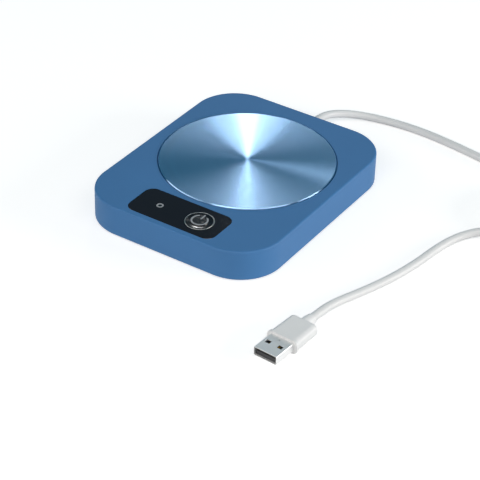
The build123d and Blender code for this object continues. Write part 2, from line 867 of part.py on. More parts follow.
with BuildPart() as indicator_ring:
    with BuildSketch(Plane.XY.offset(deck_z - lamp_ring_thickness)):
        with Locations(lamp_at):
            Circle(lamp_ring_radius)
            Circle(lens_radius + ring_fit_gap, mode=Mode.SUBTRACT)
    extrude(amount=lamp_ring_thickness)
write(indicator_ring.part, "indicator_ring")

led_top_z = board_top_z + led_height + led_lens_radius
with BuildPart() as light_guide:
    with BuildSketch(Plane.XY.offset(led_top_z + lens_end_gap)):
        with Locations(lamp_at):
            Circle(lens_radius)
    extrude(amount=deck_z - led_top_z - lens_end_gap)
    fillet(light_guide.faces().sort_by(Axis.Z)[-1].edges(), lens_radius * 0.3)
    with BuildSketch(Plane.XY.offset(deck_under_z - lens_flange_thickness)):
        with Locations(lamp_at):
            Circle(lens_flange_radius)
    extrude(amount=lens_flange_thickness)
write(light_guide.part, "light_guide")

with BuildPart() as indicator_led:
    with BuildSketch(Plane.XY.offset(board_top_z)):
        with Locations(lamp_at):
            Rectangle(led_length, led_width)
    extrude(amount=led_height)
    with BuildSketch(Plane.XY.offset(board_top_z + led_height)):
        with Locations(lamp_at):
            Circle(led_lens_radius)
    extrude(amount=led_lens_radius)
    fillet(indicator_led.faces().sort_by(Axis.Z)[-1].edges(), led_lens_radius * 0.8)
write(indicator_led.part, "indicator_led")

# ---- circuit board -------------------------------------------------------------------------------
with BuildPart() as circuit_board:
    with BuildSketch(Plane.XY.offset(board_under_z)):
        with Locations((0, board_middle_y)):
            RectangleRounded(board_width, board_length, board_corner)
        with Locations(*board_screws_at):
            Circle(board_screw_radius + screw_hole_gap, mode=Mode.SUBTRACT)
    extrude(amount=board_thickness)
write(circuit_board.part, "circuit_board")

board_screws = screws(
    board_screws_at,
    board_under_z,
    board_screw_head_radius,
    board_screw_head_height,
    board_screw_radius,
    board_screw_length,
)
write(board_screws, "board_screws")

with BuildPart() as switch_base:
    with BuildSketch(Plane.XY.offset(board_top_z)):
        with Locations(button_at):
            Rectangle(switch_size, switch_size)
    extrude(amount=switch_base_height)
    chamfer(switch_base.edges().filter_by(Axis.Z), switch_size / 12)
    with BuildSketch(Plane.XY.offset(switch_floor_z)):
        with Locations(button_at):
            Circle(switch_cavity_radius)
    extrude(amount=switch_base_height, mode=Mode.SUBTRACT)
write(switch_base.part, "switch_base")

with BuildPart() as switch_cover:
    with BuildSketch(Plane.XY.offset(switch_top_z)):
        with Locations(button_at):
            Rectangle(switch_size, switch_size)
            Circle(plunger_radius + plunger_gap, mode=Mode.SUBTRACT)
    extrude(amount=switch_cover_thickness)
    with BuildSketch(Plane.XY.offset(switch_top_z - switch_floor)):
        with Locations(button_at):
            with GridLocations(switch_size + switch_cover_thickness, 1, 2, 1):
                Rectangle(switch_cover_thickness, switch_size / 2)
    extrude(amount=switch_floor + switch_cover_thickness)
write(switch_cover.part, "switch_cover")

with BuildPart() as switch_legs:
    with BuildSketch(Plane.XY.offset(board_top_z)):
        with Locations(button_at):
            with GridLocations(switch_size + leg_reach, leg_spacing, 2, 2):
                Rectangle(leg_reach, leg_width)
    extrude(amount=leg_thickness)
write(switch_legs.part, "switch_legs")

# Dished snap disc: its rim stands on the floor of the switch, its crown is under the plunger.
dome_sphere = (dome_radius**2 + dome_rise**2) / (2 * dome_rise)
dome_base = Plane(origin=(*button_at, switch_floor_z), x_dir=(1, 0, 0), z_dir=(0, -1, 0))
with BuildPart() as switch_dome:
    with BuildSketch(dome_base):
        with Locations((0, dome_rise - dome_sphere)):
            Circle(dome_sphere)
            Circle(dome_sphere - dome_sheet, mode=Mode.SUBTRACT)
        Rectangle(dome_radius, dome_rise, align=(Align.MIN, Align.MIN), mode=Mode.INTERSECT)
    revolve(axis=button_axis)
write(switch_dome.part, "switch_dome")

with BuildPart() as switch_plunger:
    with BuildSketch(Plane.XY.offset(switch_floor_z + dome_rise + stem_gap)):
        with Locations(button_at):
            Circle(plunger_flange_radius)
    extrude(amount=switch_top_z - switch_floor_z - dome_rise - 2 * stem_gap)
    with BuildSketch(Plane.XY.offset(switch_top_z - stem_gap)):
        with Locations(button_at):
            Circle(plunger_radius)
    extrude(amount=plunger_top_z - switch_top_z + stem_gap)
write(switch_plunger.part, "switch_plunger")

with BuildPart() as controller_chip:
    with BuildSketch(Plane.XY.offset(board_under_z - chip_height)):
        with Locations((0, board_middle_y + chip_offset_y)):
            Rectangle(chip_length, chip_width)
    extrude(amount=chip_height - leg_thickness / 2)
    with BuildSketch(Plane.XY.offset(board_under_z - leg_thickness)):
        with Locations((0, board_middle_y + chip_offset_y)):
            with GridLocations(chip_pin_pitch, chip_width + leg_reach, chip_pins, 2):
                Rectangle(chip_pin_width, chip_pin_length)
    extrude(amount=leg_thickness)
write(controller_chip.part, "controller_chip")

transistor_at = (transistor_offset_x, board_middle_y + transistor_offset_y)
with BuildPart() as power_transistor:
    with BuildSketch(Plane.XY.offset(board_under_z - transistor_height)):
        with Locations(transistor_at):
            Rectangle(transistor_width, transistor_length)
    extrude(amount=transistor_height)
    chamfer(power_transistor.faces().sort_by(Axis.Z)[0].edges(), transistor_height / 5)
    with BuildSketch(Plane.XY.offset(board_under_z - leg_thickness)):
        with Locations(transistor_at):
            with Locations((0, -transistor_length / 2)):
                Rectangle(transistor_tab_width, transistor_tab_length)
            with Locations((0, transistor_length / 2)):
                with GridLocations(transistor_lead_pitch, 1, 2, 1):
                    Rectangle(leg_width, transistor_lead_length)
    extrude(amount=leg_thickness)
write(power_transistor.part, "power_transistor")

capacitor_at = (capacitor_offset_x, board_middle_y + capacitor_offset_y)
with BuildPart() as filter_capacitor:
    with BuildSketch(Plane.XY.offset(board_under_z - capacitor_height)):
        with Locations(capacitor_at):
            Circle(capacitor_radius)
    extrude(amount=capacitor_height)
    fillet(filter_capacitor.faces().sort_by(Axis.Z)[0].edges(), capacitor_radius / 8)
    with BuildSketch(Plane.XY.offset(board_under_z - capacitor_foot_height)):
        with Locations(capacitor_at):
            Rectangle(2 * capacitor_radius, 2 * capacitor_radius)
    extrude(amount=capacitor_foot_height)
write(filter_capacitor.part, "filter_capacitor")

with BuildPart() as resistors:
    with BuildSketch(Plane.XY.offset(board_under_z - resistor_height)):
        with Locations((0, board_middle_y + resistor_offset_y)):
            with GridLocations(2 * resistor_offset_x, resistor_pitch, 2, 2):
                Rectangle(resistor_width, resistor_length)
    extrude(amount=resistor_height)
write(resistors.part, "resistors")

connectors_x = {
    "heater_connector": -connector_spacing,
    "sensor_connector": 0.0,
    "supply_connector": connector_spacing,
}
for connector_name, connector_x in connectors_x.items():
    with BuildPart() as connector:
        with BuildSketch(Plane.XY.offset(board_under_z - connector_height)):
            with Locations((connector_x, connector_face_y - connector_length / 2)):
                Rectangle(connector_width, connector_length)
        extrude(amount=connector_height)
        chamfer(connector.edges().filter_by(Axis.Z), connector_wall / 2)
        with BuildSketch(Plane.XY.offset(board_under_z - connector_height)):
            with Locations((connector_x, connector_face_y - connector_length / 2)):
                with GridLocations(connector_width / 2, 1, 2, 1):
                    Rectangle(connector_slot_width, connector_slot_length)
        extrude(amount=connector_wall, mode=Mode.SUBTRACT)
    write(connector.part, connector_name)

# ---- lead: strain relief, clamp, jacket end and wires --------------------------------------------
relief_section = Plane(origin=(0, 0, cord_exit_z), x_dir=(0, 1, 0), z_dir=(1, 0, 0))
relief_axis = Axis((0, 0, cord_exit_z), (0, 1, 0))
boot_start_y = back_face_y + relief_shoulder_thickness
bore_radius = cord_radius + relief_bore_gap
with BuildPart() as strain_relief:
    with BuildSketch(relief_section):
        with BuildLine():
            Polyline(
                (back_inner_y - relief_flange_thickness, bore_radius),
                (back_inner_y - relief_flange_thickness, relief_flange_radius),
                (back_inner_y, relief_flange_radius),
                (back_inner_y, relief_neck_radius),
                (back_face_y, relief_neck_radius),
                (back_face_y, relief_shoulder_radius),
                (boot_start_y, relief_shoulder_radius),
                (boot_start_y, relief_root_radius),
                (relief_end_y, relief_tip_radius),
                (relief_end_y, bore_radius),
                close=True,
            )
        make_face()
        for groove in range(relief_grooves):
            groove_y = boot_start_y + (groove + 1) * relief_length / (relief_grooves + 1)
            share = (groove_y - boot_start_y) / relief_length
            groove_radius = relief_root_radius + share * (relief_tip_radius - relief_root_radius)
            with Locations((groove_y, groove_radius)):
                Rectangle(relief_groove_width, 2 * relief_groove_depth, mode=Mode.SUBTRACT)
    revolve(axis=relief_axis)
    shoulder_edges = strain_relief.edges().filter_by(GeomType.CIRCLE).filter_by_position(
        Axis.Y, boot_start_y - 0.01, boot_start_y + 0.01
    )
    fillet(shoulder_edges.sort_by(SortBy.RADIUS)[-1], relief_shoulder_thickness * 0.5)
write(strain_relief.part, "strain_relief")

with BuildPart() as cord_tail:
    with BuildSketch(Plane.XZ.offset(-relief_end_y)):
        with Locations((0, cord_exit_z)):
            Circle(cord_radius)
    extrude(amount=relief_end_y - tail_start_y)
write(cord_tail.part, "cord_tail")

with BuildPart() as cord_clamp:
    with BuildSketch(Plane.XY.offset(clamp_under_z)):
        with Locations((0, clamp_middle_y)):
            RectangleRounded(clamp_width, clamp_length, clamp_length / 4)
    extrude(amount=clamp_thickness)
    with BuildSketch(Plane.XY.offset(clamp_under_z)):
        with Locations(*clamp_screws_at):
            Circle(clamp_screw_radius + screw_hole_gap)
    extrude(amount=clamp_thickness, mode=Mode.SUBTRACT)
    with BuildSketch(Plane.XZ.offset(-clamp_back_y)):
        with Locations((0, cord_exit_z)):
            Circle(cord_radius + clamp_squeeze_gap)
    extrude(amount=clamp_length, mode=Mode.SUBTRACT)
write(cord_clamp.part, "cord_clamp")

clamp_screws = screws(
    clamp_screws_at,
    clamp_under_z,
    clamp_screw_head_radius,
    clamp_screw_head_height,
    clamp_screw_radius,
    clamp_screw_length,
)
write(clamp_screws, "clamp_screws")

supply_x = connectors_x["supply_connector"]
heater_x = connectors_x["heater_connector"]
sensor_x = connectors_x["sensor_connector"]

with BuildPart() as supply_wires:
    for side in (-1, 1):
        shift = side * wire_pitch / 2
        route = [
            (shift, tail_start_y, cord_exit_z),
            (shift, tail_start_y - supply_wire_straight, cord_exit_z),
            *[(x + shift, y, connector_middle_z) for x, y in supply_wire_turns],
            (supply_x + shift, connector_face_y + supply_wire_approach, connector_middle_z),
            (supply_x + shift, connector_face_y, connector_middle_z),
        ]
        add(tube(route, supply_wire_radius))
write(supply_wires.part, "supply_wires")

fuse_wire_x = fuse_left_x - fuse_lead_length + heater_wire_radius
with BuildPart() as heater_wires:
    add(
        tube(
            [
                (mouth_x, terminal_y, track_under_z),
                (mouth_x, terminal_y, flange_z - heater_wire_drop),
                *[(x, terminal_y - step, connector_middle_z) for x, step in heater_wire_turns],
                (heater_x + wire_pitch / 2, connector_face_y + wire_approach, connector_middle_z),
                (heater_x + wire_pitch / 2, connector_face_y, connector_middle_z),
            ],
            heater_wire_radius,
        )
    )
    add(
        tube(
            [
                (fuse_wire_x, terminal_y, fuse_z - fuse_lead_radius),
                (fuse_wire_x, terminal_y, flange_z - fuse_wire_drop),
                (fuse_wire_x - fuse_wire_swing, terminal_y - fuse_wire_step, connector_middle_z),
                (heater_x - wire_pitch / 2, connector_face_y + wire_approach, connector_middle_z),
                (heater_x - wire_pitch / 2, connector_face_y, connector_middle_z),
            ],
            heater_wire_radius,
        )
    )
write(heater_wires.part, "heater_wires")

with BuildPart() as sensor_leads:
    for side in (-1, 1):
        route = [
            (side * sensor_wire_pitch / 2, plate_middle_y, film_under_z - sensor_bead_length),
            (side * sensor_wire_pitch / 2, plate_middle_y, flange_z - sheet),
            *[
                (side * wire_pitch / 2, y, flange_z - sheet - sensor_wire_drop * drop)
                for y, drop in sensor_wire_levels
            ],
            (sensor_x + side * wire_pitch / 2, connector_face_y + wire_approach, connector_middle_z),
            (sensor_x + side * wire_pitch / 2, connector_face_y, connector_middle_z),
        ]
        add(tube(route, sensor_wire_radius))
write(sensor_leads.part, "sensor_leads")

# ---- USB plug, lying flat with its mouth towards -Y ----------------------------------------------
plug_middle_z = grip_lip_height / 2
turn_sin = math.sin(math.radians(plug_turn))
turn_cos = math.cos(math.radians(plug_turn))
plug_mouth = Plane(
    origin=(plug_tip_x, plug_tip_y, plug_middle_z),
    x_dir=(-turn_cos, turn_sin, 0),
    z_dir=(turn_sin, turn_cos, 0),
)
plug_level = Plane(
    origin=(plug_tip_x, plug_tip_y, plug_middle_z),
    x_dir=(turn_sin, turn_cos, 0),
    z_dir=(0, 0, 1),
)
grip_start = shell_bare
grip_body_start = grip_start + grip_lip_length
grip_end = grip_start + grip_length
cord_meets_plug = grip_end + collar_length + collar_tip_length

with BuildPart() as plug_shell:
    with BuildSketch(plug_mouth):
        RectangleRounded(shell_width, shell_height, shell_corner)
        RectangleRounded(
            shell_width - 2 * shell_sheet,
            shell_height - 2 * shell_sheet,
            shell_corner - shell_sheet,
            mode=Mode.SUBTRACT,
        )
    extrude(amount=shell_length)
    with BuildSketch(plug_level):
        with Locations((window_from_tip, 0)):
            with GridLocations(1, 2 * window_offset, 1, 2):
                Rectangle(shell_window_length, shell_window_width)
    extrude(amount=shell_height, both=True, mode=Mode.SUBTRACT)
    with BuildSketch(plug_level):
        with Locations((dimple_from_tip, 0)):
            Circle(dimple_radius)
            Rectangle(
                dimple_radius * 2,
                dimple_radius * 2,
                align=(Align.MAX, Align.CENTER),
                mode=Mode.SUBTRACT,
            )
    extrude(amount=shell_height, mode=Mode.SUBTRACT)
write(plug_shell.part, "plug_shell")

tongue_width = shell_width - 2 * shell_sheet - 2 * tongue_gap
tongue_under = shell_height / 2 - shell_sheet
with BuildPart() as plug_tongue:
    with BuildSketch(plug_mouth.offset(tongue_setback)):
        with Locations((0, -tongue_under + tongue_height / 2)):
            RectangleRounded(tongue_width, tongue_height, shell_sheet)
    extrude(amount=shell_length - tongue_setback)
write(plug_tongue.part, "plug_tongue")

with BuildPart() as plug_contacts:
    with BuildSketch(plug_level.offset(-tongue_under + tongue_height)):
        with Locations((2 * tongue_setback, 0)):
            with GridLocations(1, contact_spacing, 1, 4):
                Rectangle(contact_length, contact_width, align=(Align.MIN, Align.CENTER))
    extrude(amount=contact_thickness)
write(plug_contacts.part, "plug_contacts")

with BuildPart() as plug_grip:
    with BuildSketch(plug_mouth.offset(grip_body_start)):
        RectangleRounded(grip_width, grip_height, grip_corner)
    with BuildSketch(plug_mouth.offset(grip_end)):
        RectangleRounded(
            grip_width - grip_taper, grip_height - grip_taper / 2, grip_corner - grip_corner_taper
        )
    loft()
    end_face = plug_grip.faces().sort_by(Axis(plug_mouth.origin, plug_mouth.z_dir))[-1]
    fillet(end_face.edges(), grip_round)
    with BuildSketch(plug_mouth.offset(grip_start)):
        RectangleRounded(grip_lip_width, grip_lip_height, grip_corner)
    extrude(amount=grip_lip_length)
    with BuildSketch(plug_mouth.offset(grip_end - grip_round)):
        Circle(collar_radius)
    extrude(amount=collar_length + grip_round)
    with BuildSketch(plug_mouth.offset(grip_end - grip_round)):
        Circle(collar_tip_radius)
    extrude(amount=collar_length + collar_tip_length + grip_round)
    with BuildSketch(plug_mouth.offset(grip_start)):
        RectangleRounded(shell_width, shell_height, shell_corner)
    extrude(amount=shell_length - shell_bare, mode=Mode.SUBTRACT)
write(plug_grip.part, "plug_grip")

# ---- free lead: from the strain relief to a coil, and from the coil to the plug ------------------
coil_outer_turn = coil_turn_radius + (coil_columns - 1) * cord_radius
coil_top_z = (2 * coil_rows - 1) * cord_radius


def plug_point(distance):
    """A point on the plug's axis, that far behind its mouth."""
    place = plug_mouth.origin + plug_mouth.z_dir * distance
    return (place.X, place.Y, place.Z)


lead_route = [
    (0.0, relief_end_y, cord_exit_z),
    (0.0, relief_end_y + 7.5, cord_exit_z),
    (3.0, 85.5, 5.3),
    (11.0, 94.0, 3.2),
    (24.0, 99.0, 2.0),
    (42.0, 100.5, 2.0),
    (63.0, 98.5, 2.0),
    (86.0, 94.5, 2.0),
    (110.0, 92.6, 2.0),
    (coil_middle_x, coil_middle_y + coil_outer_turn, cord_radius),
]
plug_route = [
    (coil_middle_x, coil_middle_y - coil_outer_turn, coil_top_z),
    (122.3, 41.1, 5.0),
    (111.5, 36.6, 3.4),
    (104.2, 27.5, 2.2),
    (100.8, 14.5, 2.0),
    (98.9, -2.0, 2.0),
    (95.4, -18.5, 2.0),
    (90.0, -34.5, 2.0),
    (85.4, -47.5, 2.7),
    plug_point(cord_meets_plug + cord_straight_at_plug),
    plug_point(cord_meets_plug),
]
for route_name, route in (("cord_from_housing", lead_route), ("cord_to_plug", plug_route)):
    print(route_name, "radii", [round(radius, 1) for radius in bend_radii(route)])
    write(tube(route, cord_radius), route_name)

with BuildPart() as cord_coil:
    with BuildSketch(Plane.XZ.offset(-coil_middle_y)):
        with Locations((coil_middle_x + coil_turn_radius, coil_rows * cord_radius)):
            RectangleRounded(
                2 * coil_columns * cord_radius, 2 * coil_rows * cord_radius, coil_edge_round
            )
    revolve(axis=Axis((coil_middle_x, coil_middle_y, 0), (0, 0, 1)))
write(cord_coil.part, "cord_coil")
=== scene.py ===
import logging
import math
from dataclasses import dataclass, field
from enum import Enum
from typing import Any, Protocol

import bmesh
import bpy
from mathutils import Matrix, Vector


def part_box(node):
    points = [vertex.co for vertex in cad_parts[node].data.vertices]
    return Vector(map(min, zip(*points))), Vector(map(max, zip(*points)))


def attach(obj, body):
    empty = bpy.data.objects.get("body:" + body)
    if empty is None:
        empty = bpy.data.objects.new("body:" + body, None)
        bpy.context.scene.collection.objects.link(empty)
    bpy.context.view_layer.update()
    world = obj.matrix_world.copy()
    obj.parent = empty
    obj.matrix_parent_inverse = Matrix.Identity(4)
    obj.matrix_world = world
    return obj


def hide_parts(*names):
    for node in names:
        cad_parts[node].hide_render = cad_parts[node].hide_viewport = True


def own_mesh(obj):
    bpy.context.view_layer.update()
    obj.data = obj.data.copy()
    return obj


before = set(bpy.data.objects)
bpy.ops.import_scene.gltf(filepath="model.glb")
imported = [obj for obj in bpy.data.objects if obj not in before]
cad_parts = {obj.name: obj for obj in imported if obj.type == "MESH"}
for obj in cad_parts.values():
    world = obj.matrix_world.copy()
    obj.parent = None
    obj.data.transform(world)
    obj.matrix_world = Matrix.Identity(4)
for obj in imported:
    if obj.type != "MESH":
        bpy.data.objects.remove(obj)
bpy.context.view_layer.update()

log = logging.getLogger("mug_warmer")

MM = 0.001
BODY = "body"
BUTTON = "button"

# Faces that meet at a larger angle than this, in degrees, are shaded with an edge between them.
EDGE_FROM = 32.0
# Points nearer to each other than this, in metres, are one point.
TOUCHING = 0.001 * MM
# Faces across a rounded corner.
ROUNDING_STEPS = 6
# A Mix node's colour sockets, which share their names with its other kinds of socket.
MIX_FIRST, MIX_SECOND, MIX_RESULT = 6, 7, 2
# The kinds of socket that a pattern has.
FLOAT = "NodeSocketFloat"
VECTOR = "NodeSocketVector"

Rgb = tuple[float, float, float]
Point = tuple[float, float, float]

WHITE: Rgb = (1.0, 1.0, 1.0)
WARM: Rgb = (1.0, 0.9, 0.84)


# ---- small helpers ---------------------------------------------------------------------------


def tone(red: int, green: int, blue: int) -> Rgb:
    """A display colour as the linear colour that shaders take.

    Args:
        red: red, 0 to 255.
        green: green, 0 to 255.
        blue: blue, 0 to 255.

    Returns:
        The three linear channels, 0 to 1.
    """

    def linear(channel: int) -> float:
        """One channel, by the sRGB curve."""
        share = channel / 255
        return share / 12.92 if share <= 0.04045 else ((share + 0.055) / 1.055) ** 2.4

    return (linear(red), linear(green), linear(blue))


def shade(color: Rgb, factor: float) -> Rgb:
    """A colour made lighter or darker by a factor."""
    return (color[0] * factor, color[1] * factor, color[2] * factor)


def corners_of(node: str) -> tuple[Vector, Vector]:
    """The lowest and highest corner of a CAD node, in millimetres."""
    low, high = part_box(node)
    return low / MM, high / MM


def axis_of(node: str) -> Vector:
    """The middle of a round CAD node's top face, in millimetres."""
    low, high = corners_of(node)
    return Vector(((low.x + high.x) / 2, (low.y + high.y) / 2, high.z))


def radius_of(node: str) -> float:
    """The largest radius of a round CAD node, in millimetres."""
    low, high = corners_of(node)
    return (high.x - low.x) / 2


class Graph:
    """Adds nodes to one shader tree and links them."""

    def __init__(self, tree: bpy.types.NodeTree) -> None:
        """Takes over a tree and clears it."""
        self.tree = tree
        tree.nodes.clear()

    def add(
        self,
        kind: str,
        inputs: dict[str | int, Any] | None = None,
        **settings: Any,
    ) -> bpy.types.ShaderNode:
        """Adds a node, sets its options, and fills or links its inputs.

        Args:
            kind: the node's type, without the leading ShaderNode.
            inputs: input name or number to a constant or to another node's output.
            settings: the node's own options.

        Returns:
            The new node.
        """
        node = self.tree.nodes.new(kind if kind.startswith("Node") else f"ShaderNode{kind}")
        for option, value in settings.items():
            setattr(node, option, value)
        for key, value in (inputs or {}).items():
            self.feed(node.inputs[key], value)
        return node

    def feed(self, socket: bpy.types.NodeSocket, value: Any) -> None:
        """Links an output to an input, or sets the input to a constant.

        Args:
            socket: the input.
            value: the output or the constant.
        """
        if isinstance(value, bpy.types.NodeSocket):
            self.tree.links.new(value, socket)
        elif socket.type == "RGBA" and len(value) == 3:
            socket.default_value = (*value, 1.0)
        else:
            socket.default_value = value

    def math(self, operation: str, first: Any, second: Any = 0.0) -> bpy.types.NodeSocket:
        """One arithmetic step; gives its result."""
        return self.add("Math", {0: first, 1: second}, operation=operation).outputs[0]

    def vector(self, operation: str, *terms: Any) -> bpy.types.NodeSocket:
        """One step with vectors; gives the resulting vector."""
        return self.add("VectorMath", dict(enumerate(terms)), operation=operation).outputs[0]

    def flat(self, place: Any) -> bpy.types.NodeSocket:
        """A place without its height."""
        return self.vector("MULTIPLY", place, (1.0, 1.0, 0.0))

    def between(self, value: Any, low: float, high: float) -> bpy.types.NodeSocket:
        """Spreads a value of 0 to 1 over the range low to high."""
        node = self.add("MapRange", {"Value": value, "To Min": low, "To Max": high})
        return node.outputs["Result"]

    def blend(self, factor: Any, first: Any, second: Any) -> bpy.types.NodeSocket:
        """Mixes two colours; gives the mixed colour."""
        inputs = {"Factor": factor, MIX_FIRST: first, MIX_SECOND: second}
        return self.add("Mix", inputs, data_type="RGBA").outputs[MIX_RESULT]


class Pattern:
    """A shader node group that is built once and placed in many finishes."""

    name = "pattern"
    inputs: tuple[tuple[str, str], ...] = ()
    outputs: tuple[tuple[str, str], ...] = ()

    def fill(self, graph: Graph, source: dict[str, Any]) -> dict[str, Any]:
        """Makes the group's nodes from its inputs by name; gives what its outputs get."""
        raise NotImplementedError

    def tree(self) -> bpy.types.NodeTree:
        """The group, made on its first use.

        Returns:
            The group's tree.
        """
        known = bpy.data.node_groups.get(self.name)
        if known:
            return known
        tree = bpy.data.node_groups.new(self.name, "ShaderNodeTree")
        graph = Graph(tree)
        for label, kind in self.inputs:
            tree.interface.new_socket(label, in_out="INPUT", socket_type=kind)
        for label, kind in self.outputs:
            tree.interface.new_socket(label, in_out="OUTPUT", socket_type=kind)
        entry = graph.add("NodeGroupInput")
        leave = graph.add("NodeGroupOutput")
        made = self.fill(graph, {label: entry.outputs[label] for label, _ in self.inputs})
        for label, value in made.items():
            graph.feed(leave.inputs[label], value)
        return tree

    def place(self, graph: Graph, **values: Any) -> bpy.types.ShaderNode:
        """Places the group in a finish with its own values.

        Args:
            graph: the finish's graph.
            values: the group's inputs by name, in small letters.

        Returns:
            The placed group.
        """
        node = graph.add("Group", node_tree=self.tree())
        for label, value in values.items():
            graph.feed(node.inputs[label.replace("_", " ").capitalize()], value)
        return node


class MouldGrain(Pattern):
    """Fine sparked texture of a mould, with broad slow changes of tone."""

    name = "mould_grain"
    inputs = (("Place", VECTOR), ("Grain", FLOAT))
    outputs = (("Height", FLOAT), ("Cloud", FLOAT), ("Fleck", FLOAT))

    fine_detail: float = 3.0
    fine_roughness: float = 0.6
    clouds_per_grain: float = 0.012
    cloud_detail: float = 2.0
    pits_per_grain: float = 0.6
    pit_share: float = 0.35

    def fill(self, graph: Graph, source: dict[str, Any]) -> dict[str, Any]:
        """Makes a fine noise with pits for the relief and a broad noise for the tone.

        Args:
            graph: the group's own graph.
            source: the place and the size of a grain, in metres.

        Returns:
            The relief, the broad changes of tone and the fine flecks.
        """
        place = source["Place"]
        per_grain = graph.math("DIVIDE", 1.0, source["Grain"])
        fine = graph.add(
            "TexNoise",
            {
                "Vector": place,
                "Scale": per_grain,
                "Detail": self.fine_detail,
                "Roughness": self.fine_roughness,
            },
        )
        broad = graph.add(
            "TexNoise",
            {
                "Vector": place,
                "Scale": graph.math("MULTIPLY", per_grain, self.clouds_per_grain),
                "Detail": self.cloud_detail,
            },
        )
        pits = graph.add(
            "TexVoronoi",
            {"Vector": place, "Scale": graph.math("MULTIPLY", per_grain, self.pits_per_grain)},
        )
        pitted = graph.math("MULTIPLY", pits.outputs["Distance"], self.pit_share)
        height = graph.math("ADD", fine.outputs["Fac"], pitted)
        return {"Height": height, "Cloud": broad.outputs["Fac"], "Fleck": fine.outputs["Fac"]}


class TurnedLines(Pattern):
    """Concentric tool lines about an axis along Z, as a lathe leaves them."""

    name = "turned_lines"
    inputs = (("Place", VECTOR), ("Pitch", FLOAT))
    outputs = (("Height", FLOAT), ("Band", FLOAT), ("Radius", FLOAT))

    line_detail: float = 2.0
    bands_per_line: float = 0.06
    band_detail: float = 3.0

    def fill(self, graph: Graph, source: dict[str, Any]) -> dict[str, Any]:
        """Makes lines and bands that depend on the distance from the axis alone.

        Args:
            graph: the group's own graph.
            source: the place, counted from the axis, and the pitch of the lines, in metres.

        Returns:
            The relief of the lines, the bands and the distance from the axis.
        """
        flat = graph.flat(source["Place"])
        radius = graph.add("VectorMath", {0: flat}, operation="LENGTH").outputs["Value"]
        steps = graph.math("DIVIDE", radius, source["Pitch"])

        def noise(along: Any, detail: float) -> bpy.types.NodeSocket:
            """An even noise along the radius."""
            inputs = {"W": along, "Scale": 1.0, "Detail": detail}
            return graph.add("TexNoise", inputs, noise_dimensions="1D").outputs["Fac"]

        band = noise(graph.math("MULTIPLY", steps, self.bands_per_line), self.band_detail)
        return {"Height": noise(steps, self.line_detail), "Band": band, "Radius": radius}


class Smudges(Pattern):
    """Soft uneven patches and fine specks, as handling leaves on a glossy face."""

    name = "smudges"
    inputs = (("Place", VECTOR), ("Patch", FLOAT))
    outputs = (("Haze", FLOAT), ("Speck", FLOAT))

    haze_detail: float = 4.0
    haze_distortion: float = 0.6
    specks_per_patch: float = 40.0
    speck_edge: tuple[float, float] = (0.68, 0.8)

    def fill(self, graph: Graph, source: dict[str, Any]) -> dict[str, Any]:
        """Makes broad haze and sparse specks.

        Args:
            graph: the group's own graph.
            source: the place and the size of a patch, in metres.

        Returns:
            The haze and the specks.
        """
        place = source["Place"]
        per_patch = graph.math("DIVIDE", 1.0, source["Patch"])
        haze = graph.add(
            "TexNoise",
            {
                "Vector": place,
                "Scale": per_patch,
                "Detail": self.haze_detail,
                "Distortion": self.haze_distortion,
            },
        )
        specks = graph.add(
            "TexNoise",
            {
                "Vector": place,
                "Scale": graph.math("MULTIPLY", per_patch, self.specks_per_patch),
            },
        )
        low, high = self.speck_edge
        speck = graph.add(
            "MapRange", {"Value": specks.outputs["Fac"], "From Min": low, "From Max": high}
        )
        return {"Haze": haze.outputs["Fac"], "Speck": speck.outputs["Result"]}


# ---- finishes --------------------------------------------------------------------------------
#
# Lengths are in metres. spread is how far the roughness goes either way, depth is the depth of the
# relief, and dull is the share of its colour that a metal or rubber keeps where it is darkest.


class Finish(Protocol):
    """What every finish offers."""

    @property
    def name(self) -> str:
        """The name of its material."""
        ...

    def build(self) -> bpy.types.Material:
        """Makes the material."""
        ...


def start(name: str) -> tuple[bpy.types.Material, Graph, bpy.types.NodeSocket]:
    """Begins a material.

    Args:
        name: the material's name.

    Returns:
        The material, its graph and the Object coordinates in it.
    """
    material = bpy.data.materials.new(name)
    material.use_nodes = True
    graph = Graph(material.node_tree)
    place = graph.add("TexCoord").outputs["Object"]
    return material, graph, place


def surface(
    material: bpy.types.Material, graph: Graph, inputs: dict[str, Any]
) -> bpy.types.Material:
    """Ends a material with its shader.

    Args:
        material: the material.
        graph: its graph.
        inputs: what the shader's inputs get.

    Returns:
        The same material.
    """
    shader = graph.add("BsdfPrincipled", inputs)
    graph.add("OutputMaterial", {"Surface": shader.outputs[0]})
    return material


def relief(graph: Graph, height: bpy.types.NodeSocket, depth: float) -> bpy.types.NodeSocket:
    """A normal from a height; depth is the depth of a height of 1, in metres."""
    return graph.add("Bump", {"Height": height, "Distance": depth}).outputs["Normal"]


@dataclass(frozen=True)
class MouldedPlastic:
    """Plastic from a textured mould."""

    name: str
    color: Rgb
    roughness: float = 0.5
    grain: float = 0.25 * MM
    depth: float = 0.012 * MM
    variation: float = 0.05
    spread: float = 0.07

    def build(self) -> bpy.types.Material:
        """Makes the material.

        Returns:
            The material.
        """
        material, graph, place = start(self.name)
        grain = MouldGrain().place(graph, place=place, grain=self.grain)
        tint = graph.blend(
            grain.outputs["Cloud"],
            shade(self.color, 1 - self.variation),
            shade(self.color, 1 + self.variation),
        )
        rough = graph.between(
            grain.outputs["Fleck"], self.roughness - self.spread, self.roughness + self.spread
        )
        return surface(
            material,
            graph,
            {
                "Base Color": tint,
                "Roughness": rough,
                "Normal": relief(graph, grain.outputs["Height"], self.depth),
            },
        )


